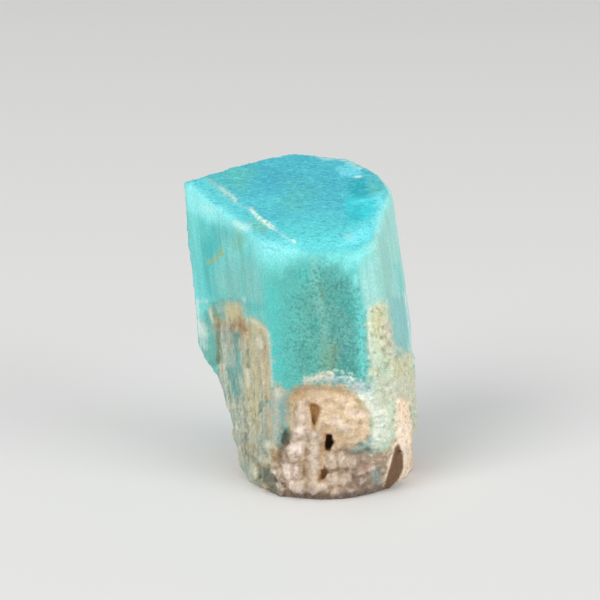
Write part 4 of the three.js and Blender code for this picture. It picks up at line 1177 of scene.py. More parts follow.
@dataclass
class Recess:
    """The fibrous recess in the left face, in front elevation (x, z)."""

    depth: float = 0.5
    outline: Outline = (
        (-16.4, 26.4), (-16.6, 28.6), (-15.4, 29.8), (-12.8, 31.2), (-11.0, 32.0), (-9.6, 31.8),
        (-8.3, 30.2), (-6.7, 29.4), (-5.9, 28.1), (-5.6, 24.8), (-4.7, 11.1), (-4.1, -1.0),
        (-20.0, -1.0), (-14.4, 17.8), (-15.9, 22.6),
    )
    fibres: tuple[Triple, ...] = (
        (-15.0, 28.0, 20.0), (-13.5, 30.0, 9.5), (-12.1, 28.0, 4.5), (-10.9, 31.0, 8.0),
        (-9.5, 29.0, 3.0), (-8.1, 30.0, 6.5), (-6.7, 28.0, 9.0),
    )
    fibre_radius: float = 0.75
    fibre_sunk: float = 0.45
    fibre_lean: float = 0.07
    rubbed_times: int = 24
    rubbed: Patch = Patch(Tint.TAN, 0.5, 0.0, 1.0, ((-16.5, -1.2), (-15.3, -0.2), (-12.9, 0.5), (-10.2, 0.7),
        (-8.8, -0.9), (-6.8, -3.2)), 1.1)
    ridges: Relief = Relief((0.8, 0.8, 5.0), 0.26, 31, streaked=True)
    threads: Relief = Relief((0.45, 0.45, 1.4), 0.1, 32, streaked=True)
    knobs: Knobs = (
        (-5.4, -24.7, 1, 1.2, 0.5), (-8, -25.8, 0.9, 1.2, 0.45), (-7.3, -29.2, 1, 1.4, 0.5),
        (-8.3, -18.2, 0.7, 1, 0.4), (-8.5, -20.4, 0.7, 0.9, 0.35), (-6.1, -31.3, 1.2, 1, 0.4),
        (-4.8, -29.6, 0.7, 1.2, 0.4), (-8.8, -28.6, 0.7, 1.4, 0.2), (-6.3, -27.2, 0.9, 1, 0.4),
        (-4.8, -26.5, 0.7, 0.9, 0.4), (-9, -24.8, 0.7, 1.4, 0.2), (-5.1, -27.5, 0.7, 0.9, 0.35),
        (-6.8, -23.5, 0.7, 1.2, 0.3), (-9.9, -20.4, 0.7, 1.5, 0.2), (-5.4, -21.2, 0.5, 1.5, 0.3),
        (-7.5, -30.6, 0.9, 1, 0.2),
    )
    area: Patch = Patch(Tint.FIBRE_GREY, 0.7, 0.8, 1.0, ((-15.6, -1.5), (-14.8, -1), (-12.6, -0.5),
        (-10.9, -0.2), (-10, -0.9), (-9.4, -2.9), (-7.5, -3.7), (-6.1, -4.6), (-5.4, -6), (-5.1, -9.9),
        (-4.8, -14.5), (-4.4, -20.4), (-4.2, -25.5), (-4.4, -30.3), (-6.3, -32.6), (-10.9, -34),
        (-12.6, -22.1), (-13.9, -14.5), (-13.9, -7.7), (-14.8, -4.2)), other=Tint.FIBRE_BEIGE,
        mottle=(0.5, 0.5, 4.0), share=0.4)
    patches: Patches = RECESS_PATCHES

    calm: Patch = Patch(Tint.TAN, 1.0, 0.3, 1.0, ((-13.3, 0), (-9.9, 0.3), (-8.8, -2.4), (-5.4, -4.1),
        (-5.4, -6.3), (-8.5, -5.8), (-10.2, -4.1), (-13.3, -3.7)))
    calming: float = 0.75
    borders: Patches = RECESS_BORDERS
    thread_size: Size = (0.5, 0.5, 2.6)
    thread_shades: Shades = (
        Shade(Tint.FIBRE_MOSS, 0.12, 0.55, 0.42), Shade(Tint.FIBRE_PALE, -0.12, -0.55, 0.3),
    )
    # Painted shade between the fibres and painted highlight on their ridges, by how far each point stands
    # out.
    painted_relief_shading: Shades = (Shade(Tint.CREVICE, -0.03, -0.3, 0.55), Shade(Tint.FIBRE_PALE, 0.06, 0.35, 0.4))

    def cutter(self, prism: Prism) -> Solid:
        """The cutter for the recess."""
        floor = prism.side("left", "left_bend").sunk(self.depth)
        bar = Solid.drawn_through("recess", self.outline, -REACH / 2, 6.0)
        return bar.combine([Solid.outside("floor", floor)], "INTERSECT")

    def fibre_solids(self, prism: Prism) -> list[Solid]:
        """The fibres, each half sunk in the recess's floor, with pointed ends."""
        floor = prism.side("left", "left_bend").sunk(self.depth + self.fibre_sunk * self.fibre_radius)
        made = []
        for index, (x, top, bottom) in enumerate(self.fibres):
            middle = (top + bottom) / 2
            at = Vector((x + self.fibre_lean * (top - middle), 0, middle))
            at.y = floor.point.y - (
                (at.x - floor.point.x) * floor.normal.x + (middle - floor.point.z) * floor.normal.z
            ) / floor.normal.y
            along = Vector((-self.fibre_lean, prism.backward_lean, 1)).normalized()
            made.append(rib(f"fibre_{index}", at, along, self.fibre_radius, top - bottom))
        return made

    def where(self, skin: Skin) -> Array:
        """How much each point belongs to the recess."""
        return skin.weigh(self.area, 300)

    def sculpt(self, skin: Skin) -> None:
        """Raises the fibres' ridges and the lumps at the recess's foot."""
        here = self.where(skin)
        skin.rub(skin.weigh(self.rubbed), self.rubbed_times)
        skin.push(skin.raised(here, self.ridges, self.threads) + here * skin.knobs(self.knobs, 33))

    def paint(self, skin: Skin) -> None:
        """Colours the fibres, the stains above them and the recess's wall, with painted shade between the
        fibres and painted highlight on their ridges.
        """
        here = self.where(skin)
        skin.lay((self.area, *self.patches), 310)
        threads = skin.noise(here, rubble, self.thread_size, 34, skin.run)
        skin.shade(here * (1.0 - self.calming * skin.weigh(self.calm)), threads, self.thread_shades)
        skin.shade(here, skin.relief(12), self.painted_relief_shading)
        skin.lay(self.borders, 330)
        skin.mark(here, Look.FIBROUS)
        skin.mark(0.6 * here, Look.EARTHY)


def rib(name: str, middle: Vector, along: Vector, radius: float, length: float) -> Solid:
    """A long round-ended lump.

    Args:
        name: The solid's name.
        middle: Its middle.
        along: The direction that it runs in.
        radius: How thick it is.
        length: How long its straight part is.

    Returns:
        The solid.
    """
    bm = bmesh.new()
    bmesh.ops.create_icosphere(bm, subdivisions=2, radius=radius)
    for vert in bm.verts:
        vert.co.z += math.copysign(length / 2, vert.co.z)
    turn = Vector((0, 0, 1)).rotation_difference(along).to_matrix().to_4x4()
    bmesh.ops.transform(bm, matrix=Matrix.Translation(middle) @ turn, verts=bm.verts)
    return Solid(name, bm)


ROCK_PATCHES: Patches = (
    Patch(Tint.DOME_SHADE, 0.8, 0.8, 0.5, ((3.7, -21.4), (7.7, -21.8), (8.8, -24.8), (6.1, -25.8),
        (4.1, -23.8))),
    Patch(Tint.DOME_LIGHT, 0.9, 0.8, 0.6, ((6.1, -16.3), (8.5, -16.7), (10.5, -19.4), (9.9, -21.1),
        (7.5, -19.7))),
    Patch(Tint.COLUMN, 0.7, 0.5, 1.0, ((-1, -17), (1.2, -17), (1.9, -21.1), (4.1, -23.8), (3.7, -34),
        (-5.1, -34), (-5.1, -28.9), (-3.1, -24.8), (-1.4, -22.1)), other=Tint.CLOD, mottle=(1.3, 1.3, 2.2),
        share=0.35),
    Patch(Tint.COLUMN, 0.7, 0.4, 0.8, ((1, -22.4), (3.7, -22.4), (3.7, -32.3), (1.4, -32.6), (0.9, -27.2)),
        other=Tint.CLOD_LIGHT, mottle=(0.8, 0.8, 3.0), share=0.35),
    Patch(Tint.CLOD, 0.8, 0.6, 0.6, ((1.2, -22.1), (3.6, -22.1), (3.7, -30.9), (1.4, -30.9)),
        other=Tint.COLUMN, mottle=(0.6, 0.6, 2.0), share=0.35),
    Patch(Tint.COLUMN, 0.6, 0.4, 0.7, ((2, -24.1), (2.2, -27.2), (2.2, -30.6)), 0.9),
    # Pale lumps, partly painted highlight where they face the light.
    Patch(Tint.CLOD_WHITE, 0.6, 0.5, 0.85, ((-2, -24.1), (0.3, -24), (0.5, -25.8), (-1.7, -26))),
    Patch(Tint.CLOD_WHITE, 0.6, 0.6, 0.6, ((-1.4, -21.8), (1, -21.4), (1, -23.1), (-1, -23.3))),
    Patch(Tint.CLOD_WHITE, 0.7, 0.7, 0.5, ((-2.7, -27.2), (-0.5, -27.2), (-0.5, -30.6), (-2.4, -31.3))),
    Patch(Tint.FIBRE_BEIGE, 0.5, 0.4, 0.6, ((-2.4, -19.6), (-0.7, -19), (-1, -21.8), (-2.4, -21.4))),
    Patch(Tint.CLOD, 0.8, 0.8, 0.75, ((4.4, -25.5), (7.7, -25.5), (10.5, -26.9), (10.5, -29.9), (7.7, -32.6),
        (4.4, -32)), other=Tint.CLOD_LIGHT, mottle=(1.4, 1.4, 0.9), share=0.4),
    Patch(Tint.CLOD, 1.0, 0.9, 0.9, ((7.7, -24.8), (10.2, -25.8), (12.9, -25.8), (15.6, -25.8),
        (15.3, -28.9), (14.3, -32.3), (8.5, -33), (7.5, -28.9)), other=Tint.CLOD_LIGHT,
        mottle=(1.3, 1.3, 0.8), share=0.25),
    Patch(Tint.CLOD_LIGHT, 0.8, 0.7, 0.5, ((5.8, -26.4), (8.2, -26), (9.7, -27), (9.2, -28.6),
        (6.1, -28.7))),
    Patch(Tint.CLOD_LIGHT, 0.8, 0.8, 0.5, ((5.1, -29.8), (7.8, -29.6), (8.5, -30.9), (7.5, -32.1),
        (4.8, -32)), other=Tint.PINK, mottle=(0.9, 0.9, 0.7), share=0.4),
    Patch(Tint.DUSK, 0.7, 0.8, 0.9, ((9, -28.9), (11.2, -28.9), (11.4, -32), (9, -32.3))),
    Patch(Tint.PINK, 0.6, 0.6, 0.6, ((10.2, -27.5), (11.6, -27.7), (11.4, -29.6), (10.2, -29.6))),
    # A painted shade along the foot, darkest at its bottom edge.
    Patch(Tint.DUSK, 1.1, 1.0, 0.8, ((-4.1, -32.1), (0, -32), (5.1, -32.5), (8.8, -32.1), (11.2, -31.5),
        (15.3, -30.6), (15.3, -34.9), (-4.1, -35.4))),
    Patch(Tint.FOOT_SHADE, 0.8, 0.5, 0.85, ((-4.8, -32.6), (0, -33), (5.1, -33), (11.2, -32.3),
        (15.6, -31.5), (15.6, -35.4), (-4.8, -36))),
    Patch(Tint.RED_BROWN, 0.5, 0.4, 0.75, ((-4.9, -25.7), (-3.2, -25.8), (-3.2, -27.4), (-4.6, -27.5))),
    Patch(Tint.PEACH, 0.5, 0.5, 1.0, ((16.5, -16.7), (18.4, -17.3), (18.9, -22.1), (18.7, -30.6),
        (16.7, -31.3), (17.3, -28.6), (16.5, -25.2), (15.3, -28.6), (15, -27.9), (16.3, -23.8),
        (16.7, -19.7))),
    Patch(Tint.PEACH_DEEP, 0.7, 0.5, 0.8, ((17.2, -17.3), (18.2, -17.7), (18, -20.4), (17, -20.1))),
    Patch(Tint.CLOD_LIGHT, 0.7, 0.5, 0.4, ((17.7, -24.8), (19, -24.8), (18.9, -30.6), (17.3, -31.3))),
    Patch(Tint.STRIP_BLUE, 0.5, 0.4, 0.4, ((11.6, -19.7), (12.1, -21.8), (11.6, -23.5)), 0.5),
    Patch(Tint.STRIP_BLUE, 0.6, 0.7, 0.7, ((9.9, -24.1), (12.2, -23.8), (11.9, -26), (8.8, -26.2))),
    Patch(Tint.STRIP_BLUE, 0.6, 0.7, 0.55, ((12.4, -28.6), (13.9, -28.9), (13.8, -31.3), (12.2, -30.9))),
    Patch(Tint.CREVICE_GREY, 0.5, 0.35, 0.9, ((7.3, -25.5), (8.7, -25.9), (10.4, -26), (11.7, -25.3)), 0.75,
        size=0.6),
    Patch(Tint.CLOD, 0.7, 0.6, 0.7, ((9.5, -26.2), (10.9, -26.2), (11.2, -28.2), (9.5, -28.2))),
)
ROCK_OVERLAYS: Patches = (
    Patch(Tint.HOLLOW, 0.25, 0.05, 1.0, ((16.5, -24.5), (17.2, -26.5), (17.3, -28.4), (16.7, -30.1),
        (15.1, -31.8), (14.6, -31.6), (15.3, -29.2), (16, -26.5))),
    Patch(Tint.RIM, 1.2, 0.6, 0.6, ((-1.4, -17.5), (-1, -16.5), (0, -15.6)), 2.2),
    Patch(Tint.RIM, 1.2, 0.7, 0.45, ((0, -16.5), (1.9, -16), (4.4, -15.8)), 1.4),
    Patch(Tint.RIM, 0.9, 0.6, 0.85, ((-0.3, -15.5), (1, -15.1), (3.1, -15), (6.3, -15.2), (8.7, -16)), 1.0),
    Patch(Tint.CLOD_LIGHT, 0.7, 0.5, 0.4, ((1.2, -15.5), (2.7, -15.8), (4.2, -15.6)), 1.0),
    Patch(Tint.PIT, 0.3, 0.12, 1.0, ((1.3, -17.3), (2.2, -17.4), (3.7, -18.2), (3.3, -19.6), (2.6, -22.1),
        (2, -22.1), (1.8, -19.7))),
    # The deep pit's dark brown, partly painted shade, then a brown line down the groove below it, partly
    # painted shade.
    Patch(Tint.PIT_DARK, 0.22, 0.1, 1.0, ((4.2, -22.6), (5.4, -22.8), (5.8, -24), (5.1, -25.7), (4.1, -25.7),
        (4.3, -24.1))),
    Patch(Tint.PIT, 0.4, 0.15, 0.7, ((4.1, -22.8), (3.9, -25.2), (3.8, -27.5), (3.7, -29.2)), 0.7),
    Patch(Tint.PEACH, 0.2, 0.12, 0.85, ((16.3, -24.3), (15.7, -26.4), (15, -28.9), (14.2, -31.5)), 0.3),
    # A painted light along the dome's right rim, against the shade of its edge.
    Patch(Tint.DOME_LIGHT, 0.6, 0.6, 0.75, ((8.8, -16.5), (10.2, -18.2), (11.4, -20.1), (11.7, -22.1)), 0.9,
        size=0.8),
    Patch(Tint.OCHRE, 0.4, 0.5, 0.7, ((9.2, -16.3), (10.4, -17.9)), 0.35, size=0.5),
    Patch(Tint.OLIVE_TAN, 0.4, 0.4, 0.6, ((9.7, -18), (10.5, -18.5)), 0.35, size=0.5),
    Patch(Tint.OLIVE_TAN, 0.4, 0.4, 0.6, ((11.9, -20.2), (12.1, -21.8)), 0.35, size=0.5),
    Patch(Tint.DOME_SHADE, 0.4, 0.3, 0.7, ((8.5, -18.5), (10, -18.2), (11.2, -18.9)), 0.35),
    Patch(Tint.DOME_SHADE, 0.4, 0.3, 0.5, ((6.5, -16.8), (7.3, -18.7)), 0.3),
    Patch(Tint.DOME_SHADE, 0.4, 0.3, 0.7, ((8.5, -21.9), (9.9, -22.3), (11.1, -23)), 0.35),
    Patch(Tint.CLOD_WHITE, 0.7, 0.5, 0.6, ((9, -19.2), (10.4, -19.6)), 0.8),
    Patch(Tint.CLOD_WHITE, 0.9, 0.6, 0.55, ((6.1, -20.6), (7.5, -21.9)), 1.2),
    Patch(Tint.DOME_LIGHT, 0.3, 0.1, 0.8, ((3.8, -26.7), (3.9, -27.5), (4.2, -28.4)), 0.5),
    Patch(Tint.PIT, 0.35, 0.15, 0.8, ((3.1, -28.9), (4.8, -29.1), (4.4, -29.9), (3.4, -30.9), (2.9, -30.6))),
    # Painted shade in a crease, and a narrow dark hole painted on beside it, its dark partly painted shade.
    Patch(Tint.CREASE, 0.5, 0.35, 0.6, ((-0.2, -26.7), (-0.1, -28.2), (-0.2, -29.8)), 0.6),
    Patch(Tint.PIT, 0.35, 0.12, 0.9, ((0.7, -27.4), (0.8, -29.9)), 0.45),
    Patch(Tint.PIT_DARK, 0.3, 0.12, 0.7, ((0.6, -28.1), (0.7, -29.8)), 0.3),
    # A painted highlight on a lump, then painted shade in the creases round the lumps.
    Patch(Tint.CLOD_WHITE, 0.7, 0.5, 0.7, ((-2.4, -28.4), (-1.4, -28.9), (-1.5, -30.1)), 1.0),
    Patch(Tint.CREASE, 0.4, 0.3, 0.75, ((-2.7, -27.5), (-1.5, -27.8), (0, -27.4)), 0.35),
    Patch(Tint.CREASE, 0.4, 0.3, 0.6, ((-2.9, -25.2), (-2.6, -26.5), (-2.7, -27.4)), 0.35),
    Patch(Tint.CREASE, 0.35, 0.3, 0.6, ((-1.5, -28.1), (-1.4, -30.3)), 0.3),
    Patch(Tint.CREASE, 0.4, 0.3, 0.6, ((-2, -21.8), (-1.5, -22.6), (-1, -23.6), (0.3, -23.8)), 0.35),
    Patch(Tint.CREASE, 0.4, 0.4, 0.6, ((4.6, -29.2), (6.8, -28.9), (8.8, -28.9), (10.2, -28.6)), 0.35),
    Patch(Tint.CREASE, 0.35, 0.3, 0.5, ((6.8, -29.9), (7.8, -30.3), (8.7, -31.6)), 0.3),
    # A crevice's dark grey-green, its near-black mottles and darkest core a painted shade.
    Patch(Tint.CREVICE, 0.7, 0.6, 0.8, ((-3.1, -21.6), (-1.9, -21.8), (-1.4, -23.1), (-1.7, -24.5),
        (-2.7, -25.3), (-3.7, -25.2), (-3.4, -23.5)), size=0.6, other=Tint.NEAR_BLACK, mottle=(0.5, 0.5, 0.7),
        share=0.2),
    Patch(Tint.PIT_DARK, 0.35, 0.3, 0.3, ((-2.2, -23.5), (-1.7, -24), (-2.2, -24.7)), 0.4),
    Patch(Tint.CREVICE, 0.5, 0.5, 0.9, ((-6.6, -28.6), (-4.9, -28.4), (-4.8, -30.8), (-5.8, -31.6),
        (-6.6, -30.9))),
    Patch(Tint.CREVICE_GREY, 0.5, 0.6, 0.85, ((-5.3, -29.2), (-3.6, -30.3), (-3.4, -32.6), (-4.6, -33.5),
        (-5.6, -32)), size=0.6, other=Tint.CREVICE, mottle=(0.5, 0.5, 0.7), share=0.4),
    Patch(Tint.RED_BROWN, 0.5, 0.5, 0.8, ((-4.9, -25.8), (-3.9, -26), (-3.6, -27.2), (-4.6, -27.7))),
    # A brown line of painted shade down the left side of the lumps.
    Patch(Tint.CREVICE_BROWN, 0.5, 0.3, 0.85, ((-3.2, -25.2), (-3.5, -26.2), (-3.3, -27.4)), 0.8),
    # A small near-black mark.
    Patch(Tint.NEAR_BLACK, 0.25, 0.3, 0.85, ((-3.1, -31), (-2.6, -31.6)), 0.45, size=0.35),
    Patch(Tint.RUST, 0.35, 0.3, 0.7, ((-2.9, -31.8), (-2.4, -32.6)), 0.5),
    Patch(Tint.PIT_DARK, 0.25, 0.3, 0.7, ((-4.4, -29.9), (-4.1, -30.9)), 0.35),
    Patch(Tint.CLOD_WHITE, 0.2, 0.2, 0.9, ((-4.8, -29.1), (-4.2, -29.4)), 0.35),
    Patch(Tint.CLOD_WHITE, 0.2, 0.2, 0.8, ((-3.9, -31.3), (-3.6, -31.8)), 0.3),
    Patch(Tint.PINK, 0.4, 0.2, 0.8, ((6.1, -32), (6.3, -32.8)), 0.5),
)


@dataclass
class RockFoot:
    """The rock at the foot of the front: its bed, its swelling mass, and what stands out of it."""

    bed_depth: float = 0.4
    outline: Outline = (
        (-5.2, -1.0), (-4.2, 5.0), (-3.1, 8.9), (-2.7, 12.3), (-2.0, 16.3), (-1.5, 17.7), (-0.2, 18.9),
        (3.0, 19.6), (5.8, 19.1), (8.3, 18.5), (9.5, 17.0), (11.0, 14.9), (11.9, 12.6), (11.4, 9.0),
        (13.4, 6.0), (15.0, -1.0),
    )
    foot_inset: float = 0.8
    foot_rise: float = 1.5
    core: Triple = (4.0, 1.0, 6.0)
    rings: tuple[tuple[float, Outline], ...] = (
        (8.0, ((-3.0, -14.1), (-0.6, -14.6), (3.4, -15.3), (9.4, -14.9), (13.2, -11.9), (16.6, -6.5))),
        (13.5, ((-1.6, -13.6), (0.6, -13.9), (4.6, -14.7), (9.2, -14.3), (12.0, -11.0))),
        (17.8, ((0.0, -13.5), (2.4, -13.8), (5.2, -14.0), (8.4, -13.6))),
    )
    columns: Knobs = (
        (0.1, -13.1, 14.4, 1.5, 3.4), (2.0, -13.7, 6.9, 1.7, 6.4),
        (-0.5, -13.7, 4.7, 1.35, 4.2), (-2.2, -13.6, 4.6, 1.2, 4.2),
    )
    lumps: tuple[tuple[float, float, float, float], ...] = (
        (6.9, -13.9, 6.3, 1.9), (9.8, -13.0, 3.4, 2.2), (6.0, -14.3, 2.6, 1.9), (13.1, -11.3, 2.9, 2.0),
        (-4.6, -12.0, 1.8, 1.8), (-5.4, -10.6, 5.2, 1.7), (-6.9, -8.8, 2.4, 1.8), (9.6, -13.2, 10.4, 1.9),
    )
    pits: tuple[tuple[float, Outline], ...] = (
        (-13.3, ((1.4, 16.4), (3.2, 15.8), (3.0, 14.4), (2.3, 11.8), (1.9, 11.8))),
        (-12.6, ((4.1, 11.3), (5.2, 11.1), (5.6, 9.8), (4.9, 8.4), (4.1, 8.6))),
        (-14.7, ((3.9, 6.2), (4.7, 5.1), (3.4, 3.3), (2.9, 3.7), (3.5, 5.4))),
        (-14.1, ((0.3, 7.0), (0.8, 6.8), (0.7, 4.6), (0.3, 4.6))),
        (-13.9, ((-2.9, 2.9), (-2.4, 2.6), (-2.5, 1.2), (-2.9, 1.4))),
        (-13.2, ((-3.1, 11.1), (-1.9, 10.9), (-1.9, 9.0), (-3.3, 8.6))),
    )
    hollow_outline: Outline = ((16.2, 8.0), (17.7, 4.9), (17.0, 2.9), (14.6, 1.0), (15.4, 4.2))
    hollow_floor: Triple = (17.0, -8.5, 4.0)
    hollow_turn: float = math.radians(-36.0)
    sunk: float = 0.25
    ledges: Relief = Relief((2.6, 2.6, 0.8), 0.16, 43)
    coarse: Relief = Relief(1.5, 0.14, 45)
    grains: Relief = Relief(0.7, 0.06, 44)
    rubbed_times: int = 12
    rubbed: Patch = Patch(Tint.RIM, 0.8, 0.0, 1.0, ((-2.4, -21.1), (-2.2, -18.7), (-1.5, -16.2), (-0.2, -15),
        (3.1, -14.5), (6.3, -14.8), (8.8, -15.6), (10.4, -17.3), (11.7, -19.6), (12.2, -21.8)), 2.0)
    knobs: Knobs = (
        (0.2, -19.6, 1.4, 2.9, 0.75), (-0.1, -22.3, 1.2, 1, 1.0), (-1.1, -23.8, 0.9, 1, 0.8),
        (-1, -26, 1.7, 1.9, 1.2), (-2.7, -26, 0.7, 1, 0.5), (-2.8, -27.2, 0.9, 1, 0.65),
        (-1.9, -28.6, 1, 1.5, 0.9), (-0.3, -28.9, 0.8, 1.7, 0.9), (-2.2, -29.8, 0.9, 1, 1.0),
        (-3.2, -30.6, 0.7, 1, 0.55), (-0.9, -31.8, 1.7, 1.4, 0.9), (-3.4, -32.5, 0.9, 1, 0.45),
        (0.3, -32.6, 0.9, 1, 0.5), (-4.2, -26.5, 0.9, 1, 0.5), (-4.6, -28.1, 0.7, 0.9, 0.4),
        (2.4, -23.1, 1.3, 2.4, 0.7), (2.5, -26.9, 1.3, 5.1, 0.95), (2.4, -32.1, 1.4, 1.4, 0.8),
        (4.6, -19.2, 9.2, 7.1, 0.4), (4.4, -16.5, 2.6, 1.5, 0.5), (7.1, -17.2, 1.2, 1, 0.7),
        (8.8, -18.4, 1.2, 1, 0.65), (5.6, -18.9, 1.9, 1.2, 0.5), (10, -20.1, 1.5, 1, 0.65),
        (7.7, -19.9, 1.7, 1.2, 0.6), (4.8, -20.7, 1.5, 1, 0.5), (7.3, -21.6, 2.2, 0.7, 0.55),
        (11.4, -20.7, 1, 1.2, 0.4), (8.8, -22.8, 1.7, 0.7, 0.6), (6.6, -23.6, 1.5, 1, 0.55),
        (10.9, -22.6, 1, 1, 0.5), (8.8, -24.1, 1.9, 0.7, 0.5), (6.3, -25, 1.4, 0.9, 0.5),
        (8.2, -25.3, 1.4, 0.7, 0.4), (5.3, -27.5, 1.3, 1.7, 1.15), (7.1, -27.5, 1.4, 1.7, 1.0),
        (8.8, -27.7, 1.4, 1.5, 0.8), (5.6, -30.4, 1.5, 1.3, 0.85), (7.7, -30.6, 1.5, 1.2, 0.8),
        (9.7, -29.2, 1.4, 1, 0.6), (11.6, -27, 2, 1, 0.65), (3.9, -32, 1.4, 1.2, 0.9),
        (6.3, -32.6, 1.4, 1, 0.7), (8.5, -32.5, 1.4, 1, 0.6), (10.7, -31.1, 1, 1, 0.5),
        (9.7, -32.6, 1.5, 0.9, 0.5), (12.1, -28.7, 1.2, 1.4, 0.6), (14.1, -27.7, 1.2, 1.9, 0.6),
        (13.1, -30.6, 1.2, 1.4, 0.55), (11.9, -32.1, 1.4, 0.9, 0.45), (14.6, -30.3, 0.5, 1.5, 0.4),
    )
    area: Patch = Patch(Tint.DOME, 0.6, 0.9, 1.0, ((-1.7, -17.2), (-1.2, -15.8), (0, -14.8), (3.2, -14.3),
        (6.3, -14.6), (8.5, -15.3), (9.9, -16.7), (11.4, -18.5), (12.2, -21.1), (11.7, -23.3), (10.2, -25.2),
        (12.6, -26), (15.3, -25.3), (16.3, -23.1), (16.7, -20.1), (16.5, -17.7), (17.3, -16.3), (18.4, -17),
        (19, -21.2), (21.1, -23.8), (21.1, -37.4), (-8.5, -37.4), (-6.5, -32.3), (-4.8, -28.9),
        (-4.8, -25.5), (-3.2, -25), (-1.4, -24), (-1.7, -21.8), (-1.9, -19.2)), size=0.9,
        other=Tint.DOME_LIGHT, mottle=(1.3, 1.3, 0.8), share=0.3)
    hollow_area: Patch = Patch(Tint.HOLLOW, 0.2, 0.0, 1.0, ((16.2, -25), (16.8, -24.7), (17.4, -26.4),
        (17.5, -28.4), (16.7, -30.4), (15, -32.1), (14.4, -31.6), (15.1, -29.2), (15.8, -26.9)))
    patches: Patches = ROCK_PATCHES
    overlays: Patches = ROCK_OVERLAYS
    # Painted shade in the creases and deep hollows, and painted highlight on the tops of the lumps.
    painted_crease_shade: Shades = (Shade(Tint.CREASE, -0.01, -0.2, 0.5), Shade(Tint.PIT, -0.18, -0.5, 0.5))
    painted_hollow_shade: Shades = (Shade(Tint.PIT, -0.6, -1.3, 0.8),)
    painted_top_highlight: Shades = (Shade(Tint.CLOD_WHITE, 0.04, 0.3, 0.4),)

    def bed(self, prism: Prism) -> Solid:
        """The cutter that sinks the rock's bed into both front faces."""
        faces = [prism.side("left_bend", "front"), prism.side("front", "front_right")]
        rims = [Solid.outside("bed", face.sunk(self.bed_depth)) for face in faces]
        both = rims[0].combine(rims[1:], "UNION")
        bar = Solid.drawn_through("dome", self.outline, -REACH / 2, -4.0)
        return bar.combine([both], "INTERSECT")

    def mass(self, prism: Prism) -> list[Solid]:
        """The swelling rock with its columns and lumps."""
        core = Vector(self.core)
        points = [core]
        for x, y in prism.footprint:
            inward = (core.xy - Vector((x, y))).normalized() * self.foot_inset
            points.append(Vector((x + inward.x, y + inward.y, 0)))
            points.append(Vector((x, y, self.foot_rise)))
        for z, ring in self.rings:
            points += [Vector((x, y, z)) for x, y in ring]
        made = [Solid.hull("foot", points)]
        lean = prism.corners["front"].lean
        along = Vector((-lean, prism.backward_lean, 1)).normalized()
        for index, (x, y, z, radius, length) in enumerate(self.columns):
            made.append(rib(f"column_{index}", Vector((x, y, z)), along, radius, length))
        for index, (x, y, z, radius) in enumerate(self.lumps):
            made.append(rib(f"lump_{index}", Vector((x, y, z)), along, radius, 0.0))
        return made

    def openings(self) -> list[Solid]:
        """The cutters for the pits and the smooth diamond hollow at the right."""
        made = [Solid.drawn_through("pit", outline, -REACH / 2, floor) for floor, outline in self.pits]
        facing = Vector((math.cos(self.hollow_turn), math.sin(self.hollow_turn), 0))
        beyond = Solid.outside("beyond", Face(Vector(self.hollow_floor), facing))
        bar = Solid.drawn_through("hollow", self.hollow_outline, -REACH / 2, -2.0)
        return [*made, bar.combine([beyond], "INTERSECT")]

    def where(self, skin: Skin) -> Array:
        """How much each point belongs to the rock."""
        return skin.weigh(self.area, 400)

    def sculpt(self, skin: Skin) -> None:
        """Breaks the rock's surface up into lumps, columns and ledges."""
        here = self.where(skin)
        smooth = skin.weigh(self.hollow_area, 401)
        rough = here * (1.0 - smooth)
        skin.push(rough * (skin.knobs(self.knobs, 40) - self.sunk)
                  + skin.raised(rough, self.ledges, self.coarse, self.grains))
        skin.rub(skin.weigh(self.rubbed), self.rubbed_times)

    def paint(self, skin: Skin) -> None:
        """Colours the rock, with painted shade in its pits and crevices and painted highlight on the tops of
        its lumps.
        """
        here = self.where(skin)
        skin.lay((self.area, *self.patches), 410)
        ridge = skin.relief(FINE)
        skin.shade(here, ridge, self.painted_crease_shade)
        skin.shade(here, skin.relief(DEEP), self.painted_hollow_shade)
        skin.shade(here, ridge, self.painted_top_highlight)
        skin.lay(self.overlays, 430)
        inside = smoothstep(-0.3, 0.1, self.hollow_area.depth(skin.elevation))
        skin.paint(inside * smoothstep(-3.0, -4.0, skin.places[:, 1]), Tint.HOLLOW)
        skin.mark(here, Look.EARTHY, Look.GRANULAR)
        skin.cover(here)


TERRACES: Patches = (
    Patch(Tint.WHITE, 0.3, 0.3, 1.0, ((4.8, -12.3), (5.6, -12.6)), 0.45, size=0.4),
    Patch(Tint.WHITE, 0.25, 0.3, 1.0, ((7, -12.9), (7.8, -13.3)), 0.25, size=0.4),
    Patch(Tint.WHITE, 0.25, 0.3, 1.0, ((8.5, -13.2), (9.2, -13.6)), 0.3, size=0.4),
    Patch(Tint.CREAM, 0.5, 0.7, 0.85, ((1, -13.8), (3.1, -13.1), (5.1, -12.8)), 1.0, size=0.5,
        other=Tint.CRUST_MOSS, mottle=(0.5, 0.5, 0.4), share=0.3),
    Patch(Tint.TEAL_SLATE, 0.5, 0.5, 0.7, ((6.3, -13.8), (7.1, -14.1), (7.8, -14.6)), 0.7, size=0.5),
    Patch(Tint.TERRACE, 0.5, 0.5, 1.0, ((9.2, -16), (10.9, -15.8), (12.4, -16.3), (13.1, -17.3),
        (12.2, -18.2), (10.5, -17.3)), other=Tint.LILAC, mottle=(1.2, 1.2, 0.4), share=0.3),
    Patch(Tint.TERRACE, 0.7, 0.7, 0.9, ((11.2, -18.4), (13.3, -18), (14.8, -18.5), (15.3, -21.2),
        (14.8, -23.6), (13.1, -25.2), (11.6, -25.3), (12.2, -21.1)), other=Tint.TERRACE_SHADE,
        mottle=(3.0, 3.0, 0.4), share=0.42),
    Patch(Tint.TERRACE_SHADE, 0.8, 0.6, 0.5, ((12.1, -22.6), (14.8, -22.3), (14.3, -24.8), (11.9, -24.8))),
)
